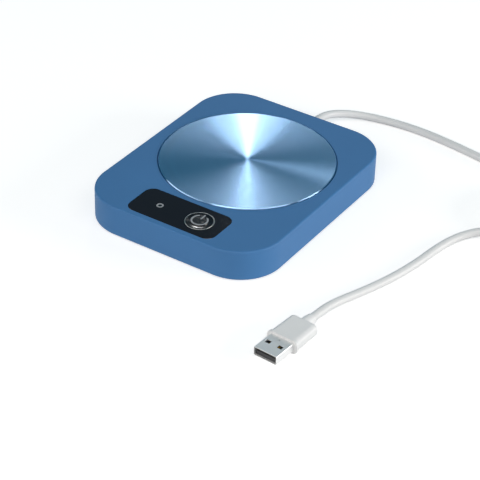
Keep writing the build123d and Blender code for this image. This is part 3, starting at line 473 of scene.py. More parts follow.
@dataclass(frozen=True)
class GlossPlastic:
    """Polished plastic with a hard clear surface and faint handling marks.

    Where the marks are thickest, haze is added to the roughness and the colour is pale times as
    light.
    """

    name: str
    color: Rgb
    roughness: float = 0.12
    haze: float = 0.1
    pale: float = 1.25
    coat: float = 0.4
    coat_roughness: float = 0.08
    patch: float = 9 * MM
    depth: float = 0.002 * MM

    def build(self) -> bpy.types.Material:
        """Makes the material.

        Returns:
            The material.
        """
        material, graph, place = start(self.name)
        marks = Smudges().place(graph, place=place, patch=self.patch)
        tint = graph.blend(marks.outputs["Haze"], self.color, shade(self.color, self.pale))
        rough = graph.between(marks.outputs["Haze"], self.roughness, self.roughness + self.haze)
        return surface(
            material,
            graph,
            {
                "Base Color": tint,
                "Roughness": rough,
                "Coat Weight": self.coat,
                "Coat Roughness": self.coat_roughness,
                "Normal": relief(graph, marks.outputs["Speck"], self.depth),
            },
        )


class Lay(Enum):
    """The direction of the fine lines in a metal surface, as the scale of their grain."""

    NONE = (1.0, 1.0, 1.0)
    ALONG_X = (0.03, 1.0, 1.0)
    ALONG_Y = (1.0, 0.03, 1.0)


@dataclass(frozen=True)
class Metal:
    """Plated, rolled or drawn metal."""

    name: str
    color: Rgb
    roughness: float = 0.25
    spread: float = 0.08
    lay: Lay = Lay.NONE
    line: float = 0.12 * MM
    depth: float = 0.002 * MM
    metallic: float = 1.0
    dull: float = 0.9

    def build(self) -> bpy.types.Material:
        """Makes the material.

        Returns:
            The material.
        """
        material, graph, place = start(self.name)
        stretched = graph.add("Mapping", {"Vector": place, "Scale": self.lay.value})
        lines = MouldGrain().place(graph, place=stretched.outputs["Vector"], grain=self.line)
        tint = graph.blend(lines.outputs["Cloud"], shade(self.color, self.dull), self.color)
        rough = graph.between(
            lines.outputs["Fleck"], self.roughness - self.spread, self.roughness + self.spread
        )
        return surface(
            material,
            graph,
            {
                "Base Color": tint,
                "Metallic": self.metallic,
                "Roughness": rough,
                "Normal": relief(graph, lines.outputs["Height"], self.depth),
            },
        )


@dataclass(frozen=True)
class SpunMetal:
    """A metal disc turned on a lathe and anodised, whose tool lines spread light into fans.

    middle is a point on its axis. The flanks of the lines lean outwards by lean, in degrees.
    """

    name: str
    color: Rgb
    middle: Point
    roughness: float = 0.3
    stretch: float = 0.9
    lean: float = 4.0
    pitch: float = 0.16 * MM
    depth: float = 0.0015 * MM
    spread: float = 0.03
    dull: float = 0.92

    def build(self) -> bpy.types.Material:
        """Makes the material.

        Returns:
            The material.
        """
        material, graph, place = start(self.name)
        centred = graph.vector("SUBTRACT", place, self.middle)
        lines = TurnedLines().place(graph, place=centred, pitch=self.pitch)
        across = graph.vector("NORMALIZE", graph.flat(centred))
        tint = graph.blend(lines.outputs["Band"], shade(self.color, self.dull), self.color)
        rough = graph.between(
            lines.outputs["Height"], self.roughness - self.spread, self.roughness + self.spread
        )
        fine = graph.math("MULTIPLY", lines.outputs["Height"], self.depth)
        slope = math.tan(math.radians(self.lean))
        fall = graph.math("MULTIPLY", lines.outputs["Radius"], slope)
        height_in_metres = graph.math("SUBTRACT", fine, fall)
        return surface(
            material,
            graph,
            {
                "Base Color": tint,
                "Metallic": 1.0,
                "Roughness": rough,
                "Anisotropic": self.stretch,
                "Tangent": across,
                "Normal": relief(graph, height_in_metres, 1.0),
            },
        )


@dataclass(frozen=True)
class SoftRubber:
    """Soft extruded or moulded rubber with a dry sheen."""

    name: str
    color: Rgb
    roughness: float = 0.55
    sheen: float = 0.1
    sheen_roughness: float = 0.5
    grain: float = 0.4 * MM
    depth: float = 0.01 * MM
    spread: float = 0.06
    dull: float = 0.95

    def build(self) -> bpy.types.Material:
        """Makes the material.

        Returns:
            The material.
        """
        material, graph, place = start(self.name)
        grain = MouldGrain().place(graph, place=place, grain=self.grain)
        tint = graph.blend(grain.outputs["Cloud"], shade(self.color, self.dull), self.color)
        rough = graph.between(
            grain.outputs["Fleck"], self.roughness - self.spread, self.roughness + self.spread
        )
        return surface(
            material,
            graph,
            {
                "Base Color": tint,
                "Roughness": rough,
                "Sheen Weight": self.sheen,
                "Sheen Roughness": self.sheen_roughness,
                "Normal": relief(graph, grain.outputs["Height"], self.depth),
            },
        )


@dataclass(frozen=True)
class PrintedInk:
    """A thick printed mark. Where it is most worn, the share wear of what is under it shows."""

    name: str
    color: Rgb
    under: Rgb
    roughness: float = 0.35
    haze: float = 0.15
    wear: float = 0.12
    patch: float = 1.5 * MM
    depth: float = 0.004 * MM

    def build(self) -> bpy.types.Material:
        """Makes the material.

        Returns:
            The material.
        """
        material, graph, place = start(self.name)
        marks = Smudges().place(graph, place=place, patch=self.patch)
        worn = graph.math("MULTIPLY", marks.outputs["Haze"], self.wear)
        tint = graph.blend(worn, self.color, self.under)
        rough = graph.between(marks.outputs["Haze"], self.roughness, self.roughness + self.haze)
        return surface(
            material,
            graph,
            {
                "Base Color": tint,
                "Roughness": rough,
                "Normal": relief(graph, marks.outputs["Haze"], self.depth),
            },
        )


@dataclass(frozen=True)
class Felt:
    """Felted fibres, of which the lower ones are less rough and are darkened by painted shade."""

    name: str
    color: Rgb
    # The share of its colour that the felt keeps in the low places of its relief: painted shade in
    # the hollows.
    hollow_painted_shade: float = 0.7
    roughness: tuple[float, float] = (0.85, 1.0)
    sheen: float = 0.3
    fibre: float = 0.3 * MM
    detail: float = 6.0
    tangle: float = 2.0
    depth: float = 0.15 * MM

    def build(self) -> bpy.types.Material:
        """Makes the material.

        Returns:
            The material.
        """
        material, graph, place = start(self.name)
        fibres = graph.add(
            "TexNoise",
            {
                "Vector": place,
                "Scale": 1 / self.fibre,
                "Detail": self.detail,
                "Distortion": self.tangle,
            },
        )
        # Painted shade: the colour darkens where the fibre relief is low.
        tint = graph.blend(fibres.outputs["Fac"], shade(self.color, self.hollow_painted_shade), self.color)
        return surface(
            material,
            graph,
            {
                "Base Color": tint,
                "Roughness": graph.between(fibres.outputs["Fac"], *self.roughness),
                "Sheen Weight": self.sheen,
                "Normal": relief(graph, fibres.outputs["Fac"], self.depth),
            },
        )


@dataclass(frozen=True)
class BoardMask:
    """Solder mask over copper tracks that run mostly one way.

    edge is the band of distances from a cell's middle over which the copper begins, and
    roughness is that of the mask alone and over copper.
    """

    name: str
    color: Rgb
    track: Rgb
    roughness: tuple[float, float] = (0.3, 0.4)
    coat: float = 0.3
    pitch: float = 1.4 * MM
    run: Point = (0.25, 1.0, 1.0)
    disorder: float = 0.6
    edge: tuple[float, float] = (0.34, 0.4)
    depth: float = 0.03 * MM

    def build(self) -> bpy.types.Material:
        """Makes the material.

        Returns:
            The material.
        """
        material, graph, place = start(self.name)
        runs = graph.add("Mapping", {"Vector": place, "Scale": self.run})
        cells = graph.add(
            "TexVoronoi",
            {
                "Vector": runs.outputs["Vector"],
                "Scale": 1 / self.pitch,
                "Randomness": self.disorder,
            },
            distance="MANHATTAN",
        )
        begin, end = self.edge
        copper = graph.add(
            "MapRange",
            {"Value": cells.outputs["Distance"], "From Min": begin, "From Max": end},
        ).outputs["Result"]
        tint = graph.blend(copper, self.color, self.track)
        return surface(
            material,
            graph,
            {
                "Base Color": tint,
                "Roughness": graph.between(copper, *self.roughness),
                "Coat Weight": self.coat,
                "Normal": relief(graph, copper, self.depth),
            },
        )


@dataclass(frozen=True)
class PaleFloor:
    """A plain floor that is white to the eye and keeps the shadows on it.

    It gives off light of the strength lift towards the eye alone, straight or by reflection.
    """

    name: str
    color: Rgb = (0.72, 0.72, 0.72)
    lift: float = 0.58
    roughness: float = 0.9
    clouds_per_metre: float = 3.0
    cloud_shade: float = 0.995

    def build(self) -> bpy.types.Material:
        """Makes the material.

        Returns:
            The material.
        """
        material, graph, place = start(self.name)
        cloud = graph.add("TexNoise", {"Vector": place, "Scale": self.clouds_per_metre})
        tint = graph.blend(
            cloud.outputs["Fac"], shade(self.color, self.cloud_shade), self.color
        )
        path = graph.add("LightPath")
        bent = graph.math(
            "MAXIMUM", path.outputs["Is Glossy Ray"], path.outputs["Is Transmission Ray"]
        )
        seen = graph.math("MAXIMUM", path.outputs["Is Camera Ray"], bent)
        return surface(
            material,
            graph,
            {
                "Base Color": tint,
                "Roughness": self.roughness,
                "Specular IOR Level": 0.0,
                "Emission Color": WHITE,
                "Emission Strength": graph.math("MULTIPLY", seen, self.lift),
            },
        )


BLUE = MouldedPlastic("blue_moulded_plastic", tone(64, 121, 176), roughness=0.6)
WHITE_PLASTIC = MouldedPlastic("white_moulded_plastic", tone(238, 238, 238), roughness=0.42)
CHIP_BLACK = MouldedPlastic("black_package", tone(28, 28, 29), roughness=0.6, depth=0.02 * MM)
NYLON = MouldedPlastic("off_white_nylon", tone(222, 218, 204), roughness=0.4)
TONGUE_GREY = MouldedPlastic("grey_tongue", tone(58, 58, 60), roughness=0.5)
PANEL_BLACK = GlossPlastic(
    "glossy_black_panel", tone(29, 24, 30), roughness=0.035, haze=0.012, coat=0.0
)
BUTTON_BLACK = GlossPlastic(
    "glossy_black_button", tone(22, 18, 22), roughness=0.14, haze=0.01, coat=0.0
)
SMOKED = GlossPlastic("smoked_lens", tone(20, 21, 25), roughness=0.08, haze=0.04, coat=1.0)
AMBER_FILM = GlossPlastic("amber_film", tone(190, 120, 40), roughness=0.25)
BEAD = GlossPlastic("amber_bead", tone(120, 60, 30), roughness=0.08, coat=1.0)
SILVER_TRIM = Metal("bright_trim", tone(196, 194, 192), roughness=0.34, metallic=0.9)
PLUG_PLATE = Metal("nickel_plate", tone(242, 242, 242), roughness=0.4, spread=0.05, metallic=0.6)
SCREW_ZINC = Metal("zinc_screw", tone(150, 152, 156), roughness=0.35)
SHEET = Metal("pressed_sheet", tone(172, 174, 178), roughness=0.4, lay=Lay.ALONG_X)
TINNED = Metal("tinned_metal", tone(205, 205, 205), roughness=0.3)
GOLD = Metal("gold_contact", tone(222, 178, 96), roughness=0.22)
FOIL = Metal("etched_foil", tone(160, 154, 146), roughness=0.45, lay=Lay.ALONG_Y)
INK = PrintedInk("silver_ink", tone(160, 163, 168), tone(24, 28, 35))
FOOT_RUBBER = SoftRubber("black_foot_rubber", tone(34, 34, 35), roughness=0.7)
SILICONE = SoftRubber("grey_silicone", tone(60, 64, 68), roughness=0.6)
CABLE = SoftRubber("white_cable_jacket", tone(234, 234, 234), roughness=0.42, sheen=0.05)
WIRE_RED = SoftRubber("red_wire", tone(170, 30, 28), roughness=0.4)
WIRE_BLACK = SoftRubber("black_wire", tone(30, 30, 31), roughness=0.4)
WIRE_WHITE = SoftRubber("white_wire", tone(220, 220, 218), roughness=0.4)
FELT = Felt("glass_fibre_felt", tone(214, 208, 192))
BOARD = BoardMask("green_board", tone(20, 84, 44), tone(44, 116, 66))
SPUN = SpunMetal(
    "spun_blue_metal",
    (0.42, 0.66, 0.99),
    middle=tuple(axis_of("heating_plate") * MM),
    roughness=0.25,
    stretch=0.93,
)
FLOOR = PaleFloor("pale_floor")


class Paint:
    """Builds each finish once and gives it to pieces."""

    def __init__(self) -> None:
        """Starts with no materials made."""
        self.made: dict[str, bpy.types.Material] = {}

    def material(self, finish: Finish) -> bpy.types.Material:
        """The material of a finish, made on its first use.

        Args:
            finish: the finish.

        Returns:
            Its material.
        """
        if finish.name not in self.made:
            self.made[finish.name] = finish.build()
        return self.made[finish.name]

    def dress(self, node: str, finish: Finish) -> None:
        """Gives a finish to a CAD node.

        Args:
            node: the node's name.
            finish: the finish that it gets.
        """
        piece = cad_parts[node]
        piece.data.materials.clear()
        piece.data.materials.append(self.material(finish))


# ---- sub-assemblies --------------------------------------------------------------------------


@dataclass
class Dressed:
    """A group of CAD nodes that keep their shape and get their finishes."""

    finishes: dict[str, Finish]

    def make(self, paint: Paint) -> list[str]:
        """Dresses the nodes.

        Args:
            paint: the store of finishes.

        Returns:
            The names of the nodes that were dressed.
        """
        for node, finish in self.finishes.items():
            paint.dress(node, finish)
        return list(self.finishes)


@dataclass(frozen=True)
class Corner:
    """A corner of a half section, in millimetres, and how far it is rounded."""

    radius: float
    height: float
    rounding: float = 0.0


@dataclass(frozen=True)
class Turning:
    """A shape of a round CAD node, made by turning its half section about an upright axis.

    The axis and the section are in millimetres. gap is how far the shape is from a full turn, in
    degrees, and its middle lies towards +Y.
    """

    node: str
    axis: Vector
    section: tuple[Corner, ...]
    steps: int = 192
    gap: float = 0.0

    def draw(self, shape: bmesh.types.BMesh) -> None:
        """Draws the half section as one face with its corners rounded.

        Args:
            shape: the empty shape that it is drawn in.
        """
        drawn = [
            shape.verts.new((corner.radius * MM, 0.0, corner.height * MM))
            for corner in self.section
        ]
        shape.faces.new(drawn)
        for vertex, corner in zip(drawn, self.section):
            if corner.rounding:
                bmesh.ops.bevel(
                    shape,
                    geom=[vertex],
                    offset=corner.rounding * MM,
                    offset_type="OFFSET",
                    segments=ROUNDING_STEPS,
                    profile=0.5,
                    affect="VERTICES",
                    material=-1,
                )

    def turn(self, shape: bmesh.types.BMesh) -> None:
        """Turns the half section round.

        Args:
            shape: the shape that holds the half section.
        """
        begin = math.radians(90 + self.gap / 2)
        bmesh.ops.rotate(shape, verts=shape.verts[:], matrix=Matrix.Rotation(begin, 3, "Z"))
        full = not self.gap
        if full:
            # A full turn takes the outline alone, without its edge along the axis.
            bmesh.ops.delete(shape, geom=shape.faces[:], context="FACES_ONLY")
            on_axis = [
                edge
                for edge in shape.edges
                if all(vertex.co.xy.length < TOUCHING for vertex in edge.verts)
            ]
            bmesh.ops.delete(shape, geom=on_axis, context="EDGES")
        bmesh.ops.spin(
            shape,
            geom=shape.verts[:] + shape.edges[:] + shape.faces[:],
            cent=(0.0, 0.0, 0.0),
            axis=(0.0, 0.0, 1.0),
            angle=math.radians(360 - self.gap),
            steps=self.steps,
            use_merge=full,
        )
        bmesh.ops.remove_doubles(shape, verts=shape.verts[:], dist=TOUCHING)

    def add_to(self, mesh: bpy.types.Mesh) -> None:
        """Adds the turned shape, at its place, to what a mesh already holds.

        Args:
            mesh: the mesh.
        """
        shape = bmesh.new()
        self.draw(shape)
        self.turn(shape)
        bmesh.ops.translate(
            shape, verts=shape.verts[:], vec=(self.axis.x * MM, self.axis.y * MM, 0.0)
        )
        bmesh.ops.recalc_face_normals(shape, faces=shape.faces[:])
        shape.from_mesh(mesh)
        shape.to_mesh(mesh)
        shape.free()


def turned(
    turnings: tuple[Turning, ...], material: bpy.types.Material, body: str
) -> bpy.types.Object:
    """Makes one finished piece of turned shapes.

    Args:
        turnings: the shapes of one CAD node, for which the piece stands.
        material: its finish.
        body: the body that it moves with.

    Returns:
        The piece.
    """
    node = turnings[0].node
    mesh = bpy.data.meshes.new(f"turned_{node}")
    for turning in turnings:
        turning.add_to(mesh)
    mesh.shade_smooth()
    mesh.set_sharp_from_angle(angle=math.radians(EDGE_FROM))
    mesh.materials.append(material)
    piece = bpy.data.objects.new(f"turned_{node}", mesh)
    bpy.context.scene.collection.objects.link(piece)
    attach(piece, body)
    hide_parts(node)
    return piece


@dataclass(frozen=True)
class Plate:
    """The heating plate, in millimetres."""

    node: str = "heating_plate"
    chamfer: float = 0.4
    steps: int = 256

    def turning(self) -> Turning:
        """The plate with its rim chamfered.

        Returns:
            Its turning.
        """
        low, high = corners_of(self.node)
        radius = radius_of(self.node)
        section = (
            Corner(0.0, high.z),
            Corner(radius - self.chamfer, high.z),
            Corner(radius, high.z - self.chamfer),
            Corner(radius, low.z),
            Corner(0.0, low.z),
        )
        return Turning(self.node, axis_of(self.node), section, steps=self.steps)


@dataclass(frozen=True)
class Ring:
    """The bright ring round the power button, in millimetres.

    It stands inset from the outer radius of its CAD node. A straight piece under each rounding
    keeps the light on the sides even.
    """

    node: str = "button_ring"
    inset: float = 0.05
    width: float = 0.5
    inner_round: float = 0.12
    inner_straight: float = 0.03
    outer_round: float = 0.2
    outer_straight: float = 0.02

    def turning(self) -> Turning:
        """The ring with its top edges rounded.

        Returns:
            Its turning.
        """
        low, high = corners_of(self.node)
        outer = radius_of(self.node) - self.inset
        inner = outer - self.width
        section = (
            Corner(inner, low.z),
            Corner(inner, high.z - self.inner_round - self.inner_straight),
            Corner(inner, high.z, self.inner_round),
            Corner(outer, high.z, self.outer_round),
            Corner(outer, high.z - self.outer_round - self.outer_straight),
            Corner(outer, low.z),
        )
        return Turning(self.node, axis_of(self.node), section)


@dataclass(frozen=True)
class Cap:
    """The power button, in millimetres, with depths below its top and angles in degrees.

    A step leads from its raised middle down to a shoulder that climbs outwards, and a flange
    round its foot has a gap for the key that keeps it from turning. A straight piece inside the
    rounding of the middle keeps the light on its top even.
    """

    node: str = "power_button"
    radius: float = 6.2
    raised_radius: float = 4.27
    raised_round: float = 0.08
    raised_straight: float = 0.04
    step_width: float = 0.18
    step_depth: float = 0.36
    shoulder_radius: float = 6.16
    shoulder_climb: float = 8.4
    rim_drop: float = 0.04
    top_thickness: float = 1.2
    skirt_thickness: float = 1.0
    stem_radius: float = 2.0
    stem_depth: float = 3.05
    flange_thickness: float = 0.8
    flange_gap: float = 14.8

    def turnings(self, axis: Vector) -> tuple[Turning, Turning]:
        """The cap and its flange.

        Args:
            axis: the button's axis, which the flange's gap puts out of its box's middle.

        Returns:
            The turnings of both.
        """
        low, high = corners_of(self.node)
        step_foot = self.raised_radius + self.step_width
        step_low = high.z - self.step_depth
        climb = (self.shoulder_radius - step_foot) * math.tan(math.radians(self.shoulder_climb))
        hollow = high.z - self.top_thickness
        inside = self.radius - self.skirt_thickness
        section = (
            Corner(0.0, high.z),
            Corner(self.raised_radius - self.raised_round - self.raised_straight, high.z),
            Corner(self.raised_radius, high.z, self.raised_round),
            Corner(step_foot, step_low),
            Corner(self.shoulder_radius, step_low + climb),
            Corner(self.radius, step_low + climb - self.rim_drop),
            Corner(self.radius, low.z),
            Corner(inside, low.z),
            Corner(inside, hollow),
            Corner(self.stem_radius, hollow),
            Corner(self.stem_radius, high.z - self.stem_depth),
            Corner(0.0, high.z - self.stem_depth),
        )
        reach = radius_of(self.node)
        flange = (
            Corner(self.radius, low.z + self.flange_thickness),
            Corner(reach, low.z + self.flange_thickness),
            Corner(reach, low.z),
            Corner(self.radius, low.z),
        )
        return (
            Turning(self.node, axis, section),
            Turning(self.node, axis, flange, gap=self.flange_gap),
        )


@dataclass(frozen=True)
class Dome:
    """The switch's snap dome, bent from sheet, in millimetres.

    keep, a share of its height for when it is pressed, is not used.
    """

    node: str = "switch_dome"
    sheet: float = 0.12
    keep: float = 0.5
    arc_steps: int = 10
    steps: int = 64

    def turning(self) -> Turning:
        """The dome's outer face from its top down to its foot, and its inner face back up.

        Returns:
            Its turning.
        """
        low, high = corners_of(self.node)
        radius = radius_of(self.node)
        rise = high.z - low.z
        bend = (radius**2 + rise**2) / (2 * rise)

        def arc(reach: float) -> list[Corner]:
            """One face of the sheet, from the top to the foot.

            Args:
                reach: its distance from the middle of the bend.

            Returns:
                Its corners.
            """
            last = math.acos((bend - rise) / reach)
            turns = [last * step / self.arc_steps for step in range(self.arc_steps + 1)]
            return [
                Corner(reach * math.sin(turn), high.z - bend + reach * math.cos(turn))
                for turn in turns
            ]

        section = (*arc(bend), *reversed(arc(bend - self.sheet)))
        return Turning(self.node, axis_of(self.node), section, steps=self.steps)

    def give(self, piece: bpy.types.Object) -> None:
        """Gives the turned dome a mesh of its own.

        Args:
            piece: the turned dome.
        """
        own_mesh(piece)


@dataclass
class Housing(Dressed):
    """Shell, cover, feet and the screws between them."""

    finishes: dict[str, Finish] = field(
        default_factory=lambda: {
            "top_housing": BLUE,
            "base_cover": BLUE,
            "rubber_feet": FOOT_RUBBER,
            "housing_screws": SCREW_ZINC,
        }
    )


@dataclass
class Heater(Dressed):
    """The plate and the layers that heat and hold it."""

    finishes: dict[str, Finish] = field(
        default_factory=lambda: {
            "plate_gasket": SILICONE,
            "heater_film": AMBER_FILM,
            "heater_track": FOIL,
            "insulation_pad": FELT,
            "heater_retainer": SHEET,
            "retainer_screws": SCREW_ZINC,
            "thermistor": BEAD,
            "thermal_fuse": TINNED,
            "heater_wires": WIRE_RED,
            "sensor_leads": WIRE_WHITE,
        }
    )
    plate: Plate = Plate()

    def make(self, paint: Paint) -> list[str]:
        """Dresses the nodes and turns the plate.

        Args:
            paint: the store of finishes.

        Returns:
            The names of the nodes and pieces.
        """
        names = super().make(paint)
        plate = turned((self.plate.turning(),), paint.material(SPUN), BODY)
        return [*names, plate.name]


@dataclass
class Controls(Dressed):
    """Panel, button, indicator and the switch under the button."""

    finishes: dict[str, Finish] = field(
        default_factory=lambda: {
            "control_panel": PANEL_BLACK,
            "power_symbol": INK,
            "indicator_ring": INK,
            "light_guide": SMOKED,
            "indicator_led": NYLON,
            "switch_base": CHIP_BLACK,
            "switch_cover": TINNED,
            "switch_legs": TINNED,
            "switch_plunger": CHIP_BLACK,
        }
    )
    ring: Ring = Ring()
    cap: Cap = Cap()
    dome: Dome = Dome()

    def make(self, paint: Paint) -> list[str]:
        """Dresses the nodes, turns the round pieces and gives the dome a mesh of its own.

        Args:
            paint: the store of finishes.

        Returns:
            The names of the nodes and pieces.
        """
        names = super().make(paint)
        ring = turned((self.ring.turning(),), paint.material(SILVER_TRIM), BODY)
        cap = turned(
            self.cap.turnings(axis_of(self.ring.node)),
            paint.material(BUTTON_BLACK),
            BUTTON,
        )
        dome = turned((self.dome.turning(),), paint.material(TINNED), BODY)
        self.dome.give(dome)
        return [*names, ring.name, cap.name, dome.name]


@dataclass
class Electronics(Dressed):
    """The circuit board, what is soldered to it and its wires."""

    finishes: dict[str, Finish] = field(
        default_factory=lambda: {
            "circuit_board": BOARD,
            "board_screws": SCREW_ZINC,
            "controller_chip": CHIP_BLACK,
            "power_transistor": CHIP_BLACK,
            "filter_capacitor": TINNED,
            "resistors": CHIP_BLACK,
            "heater_connector": NYLON,
            "sensor_connector": NYLON,
            "supply_connector": NYLON,
            "supply_wires": WIRE_BLACK,
        }
    )


@dataclass
class Plug(Dressed):
    """The plug on the far end of the lead, and the lead's hold in the housing."""

    finishes: dict[str, Finish] = field(
        default_factory=lambda: {
            "plug_shell": PLUG_PLATE,
            "plug_tongue": TONGUE_GREY,
            "plug_contacts": GOLD,
            "plug_grip": WHITE_PLASTIC,
            "strain_relief": CABLE,
            "cord_tail": CABLE,
            "cord_clamp": WHITE_PLASTIC,
            "clamp_screws": SCREW_ZINC,
        }
    )


@dataclass
class Coil:
    """The put-away length of the lead: turns beside and on each other, a diameter apart.

    Lengths are in millimetres. inward, outward and upward give where along the winding, in turns,
    the lead moves a diameter in, a diameter out and up to the second layer.
    """

    middle: tuple[float, float] = (133.0, 67.0)
    outer: float = 26.0
    spacing: float = 4.0
    low: float = 2.0
    high: float = 6.0
    turns: float = 5.5
    inward: tuple[tuple[float, float], ...] = ((0.75, 1.0), (1.75, 2.0))
    outward: tuple[tuple[float, float], ...] = ((3.5, 3.72), (4.5, 4.72))
    upward: tuple[float, float] = (2.72, 2.98)
    points_per_turn: int = 16

    def ring(self, turn: float) -> tuple[float, float]:
        """Radius and height at a place along the winding.

        Args:
            turn: turns wound so far.

        Returns:
            The radius and the height there, in millimetres.
        """

        def step(begin: float, end: float) -> float:
            """The share of a smooth step from begin to end that is done."""
            share = min(1.0, max(0.0, (turn - begin) / (end - begin)))
            return share * share * (3 - 2 * share)

        radius = self.outer
        radius -= self.spacing * sum(step(*span) for span in self.inward)
        radius += self.spacing * sum(step(*span) for span in self.outward)
        height = self.low + (self.high - self.low) * step(*self.upward)
        return radius, height

    def points(self) -> list[Point]:
        """The winding's points, clockwise from the side away from the controls.

        Returns:
            The points, in millimetres.
        """
        found = []
        for number in range(round(self.turns * self.points_per_turn) + 1):
            turn = number / self.points_per_turn
            radius, height = self.ring(turn)
            angle = math.pi / 2 - 2 * math.pi * turn
            found.append(
                (
                    self.middle[0] + radius * math.cos(angle),
                    self.middle[1] + radius * math.sin(angle),
                    height,
                )
            )
        return found


@dataclass
class Lead:
    """The free lead from the strain relief to the plug, in millimetres and degrees.

    plug_tip is the middle of the plug's mouth and plug_turn the plug's turn about the upright
    axis. straight_from and meets_plug are distances behind the mouth.
    """

    diameter: float = 4.0
    coil: Coil = field(default_factory=Coil)
    from_housing: tuple[Point, ...] = (
        (0.0, 68.5, 7.0),
        (0.0, 76.0, 7.0),
        (3.0, 85.5, 5.3),
        (11.0, 94.0, 3.2),
        (24.0, 99.0, 2.0),
        (42.0, 100.5, 2.0),
        (63.0, 98.5, 2.0),
        (86.0, 94.5, 2.0),
        (110.0, 92.6, 2.0),
    )
    to_plug: tuple[Point, ...] = (
        (122.3, 41.1, 5.0),
        (111.5, 36.6, 3.4),
        (104.2, 27.5, 2.2),
        (100.8, 14.5, 2.0),
        (98.9, -2.0, 2.0),
        (95.4, -18.5, 2.0),
        (90.0, -34.5, 2.0),
        (85.4, -47.5, 2.7),
    )
    plug_tip: Point = (80.5, -100.0, 3.5)
    plug_turn: float = 4.0
    straight_from: float = 42.5
    meets_plug: float = 33.5
    steps_along: int = 6
    steps_round: int = 6

    def plug_point(self, distance: float) -> Point:
        """A point on the plug's axis.

        Args:
            distance: how far it is behind the mouth.

        Returns:
            The point.
        """
        turn = math.radians(self.plug_turn)
        return (
            self.plug_tip[0] + distance * math.sin(turn),
            self.plug_tip[1] + distance * math.cos(turn),
            self.plug_tip[2],
        )

    def route(self) -> list[Vector]:
        """The whole route.

        Returns:
            Its points, in metres.
        """
        points = [
            *self.from_housing,
            *self.coil.points(),
            *self.to_plug,
            self.plug_point(self.straight_from),
            self.plug_point(self.meets_plug),
        ]
        return [Vector(point) * MM for point in points]

    def length(self, piece: bpy.types.Object) -> float:
        """The length of the smooth line itself.

        Args:
            piece: the lead.

        Returns:
            The length, in metres.
        """
        bare = piece.data.copy()
        bare.bevel_depth = 0.0
        probe = bpy.data.objects.new("lead_line", bare)
        line = bpy.data.meshes.new_from_object(probe)
        places = [vertex.co for vertex in line.vertices]
        total = sum((b - a).length for a, b in zip(places, places[1:]))
        bpy.data.objects.remove(probe)
        bpy.data.meshes.remove(line)
        bpy.data.curves.remove(bare)
        return total

    def make(self, paint: Paint) -> list[str]:
        """Lays the lead as one smooth curve.

        Args:
            paint: the store of finishes.

        Returns:
            The names of the pieces that were made.
        """
        route = self.route()
        curve = bpy.data.curves.new("lead", "CURVE")
        curve.dimensions = "3D"
        curve.resolution_u = self.steps_along
        curve.bevel_depth = self.diameter * MM / 2
        curve.bevel_resolution = self.steps_round
        curve.use_fill_caps = True
        spline = curve.splines.new("NURBS")
        spline.points.add(len(route) - 1)
        for control, place in zip(spline.points, route):
            control.co = (*place, 1.0)
        spline.order_u = 3
        spline.use_endpoint_u = True
        piece = bpy.data.objects.new("lead", curve)
        bpy.context.scene.collection.objects.link(piece)
        curve.materials.append(paint.material(CABLE))
        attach(piece, BODY)
        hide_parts("cord_from_housing", "cord_coil", "cord_to_plug")
        total = self.length(piece)
        log.info("the lead is %.3f m long", total)
        return [piece.name]


# ---- studio and camera -----------------------------------------------------------------------


@dataclass(frozen=True)
class Viewpoint:
    """A camera that circles an aim point beside the origin.

    Lengths are in metres, and the lens and the sensor's width in millimetres. Angles are in
    degrees, and the azimuth counts from the controls' side of the part.
    """

    azimuth: float = 32.67
    elevation: float = 34.69
    roll: float = 1.62
    distance: float = 0.8935
    aim_right: float = 0.0019
    aim_up: float = -0.0213
    lens: float = 140.1
    sensor_width: float = 36.0
    nearest: float = 0.01
    farthest: float = 50.0

    def make(self) -> None:
        """Makes the camera and gives it to the scene."""
        turn = math.radians(self.azimuth)
        rise = math.radians(self.elevation)
        lean = math.radians(self.roll)
        back = Vector(
            (
                math.sin(turn) * math.cos(rise),
                -math.cos(turn) * math.cos(rise),
                math.sin(rise),
            )
        )
        right = Vector((math.cos(turn), math.sin(turn), 0.0))
        up = back.cross(right)
        aim = right * self.aim_right + up * self.aim_up
        place = aim + back * self.distance
        side = right * math.cos(lean) + up * math.sin(lean)
        top = up * math.cos(lean) - right * math.sin(lean)
        lens = bpy.data.cameras.new("camera")
        lens.lens = self.lens
        lens.sensor_width = self.sensor_width
        lens.clip_start = self.nearest
        lens.clip_end = self.farthest
        camera = bpy.data.objects.new("camera", lens)
        bpy.context.scene.collection.objects.link(camera)
        camera.matrix_world = Matrix(
            (
                (side.x, top.x, back.x, place.x),
                (side.y, top.y, back.y, place.y),
                (side.z, top.z, back.z, place.z),
                (0.0, 0.0, 0.0, 1.0),
            )
        )
        bpy.context.scene.camera = camera


@dataclass(frozen=True)
class Lamp:
    """A soft box that faces the heating plate.

    Angles are in degrees, and the azimuth counts from +X. Lengths are in metres, power in watts.
    """

    name: str
    azimuth: float
    elevation: float
    distance: float
    width: float
    height: float
    power: float
    color: Rgb = WHITE

    def make(self, aim: Vector) -> None:
        """Makes the lamp.

        Args:
            aim: the point that it faces.
        """
        turn = math.radians(self.azimuth)
        rise = math.radians(self.elevation)
        away = Vector(
            (math.cos(turn) * math.cos(rise), math.sin(turn) * math.cos(rise), math.sin(rise))
        )
        light = bpy.data.lights.new(self.name, "AREA")
        light.shape = "RECTANGLE"
        light.size = self.width
        light.size_y = self.height
        light.energy = self.power
        light.color = self.color
        lamp = bpy.data.objects.new(self.name, light)
        bpy.context.scene.collection.objects.link(lamp)
        lamp.location = aim + away * self.distance
        lamp.rotation_euler = away.to_track_quat("Z", "Y").to_euler()
        lamp.visible_camera = False


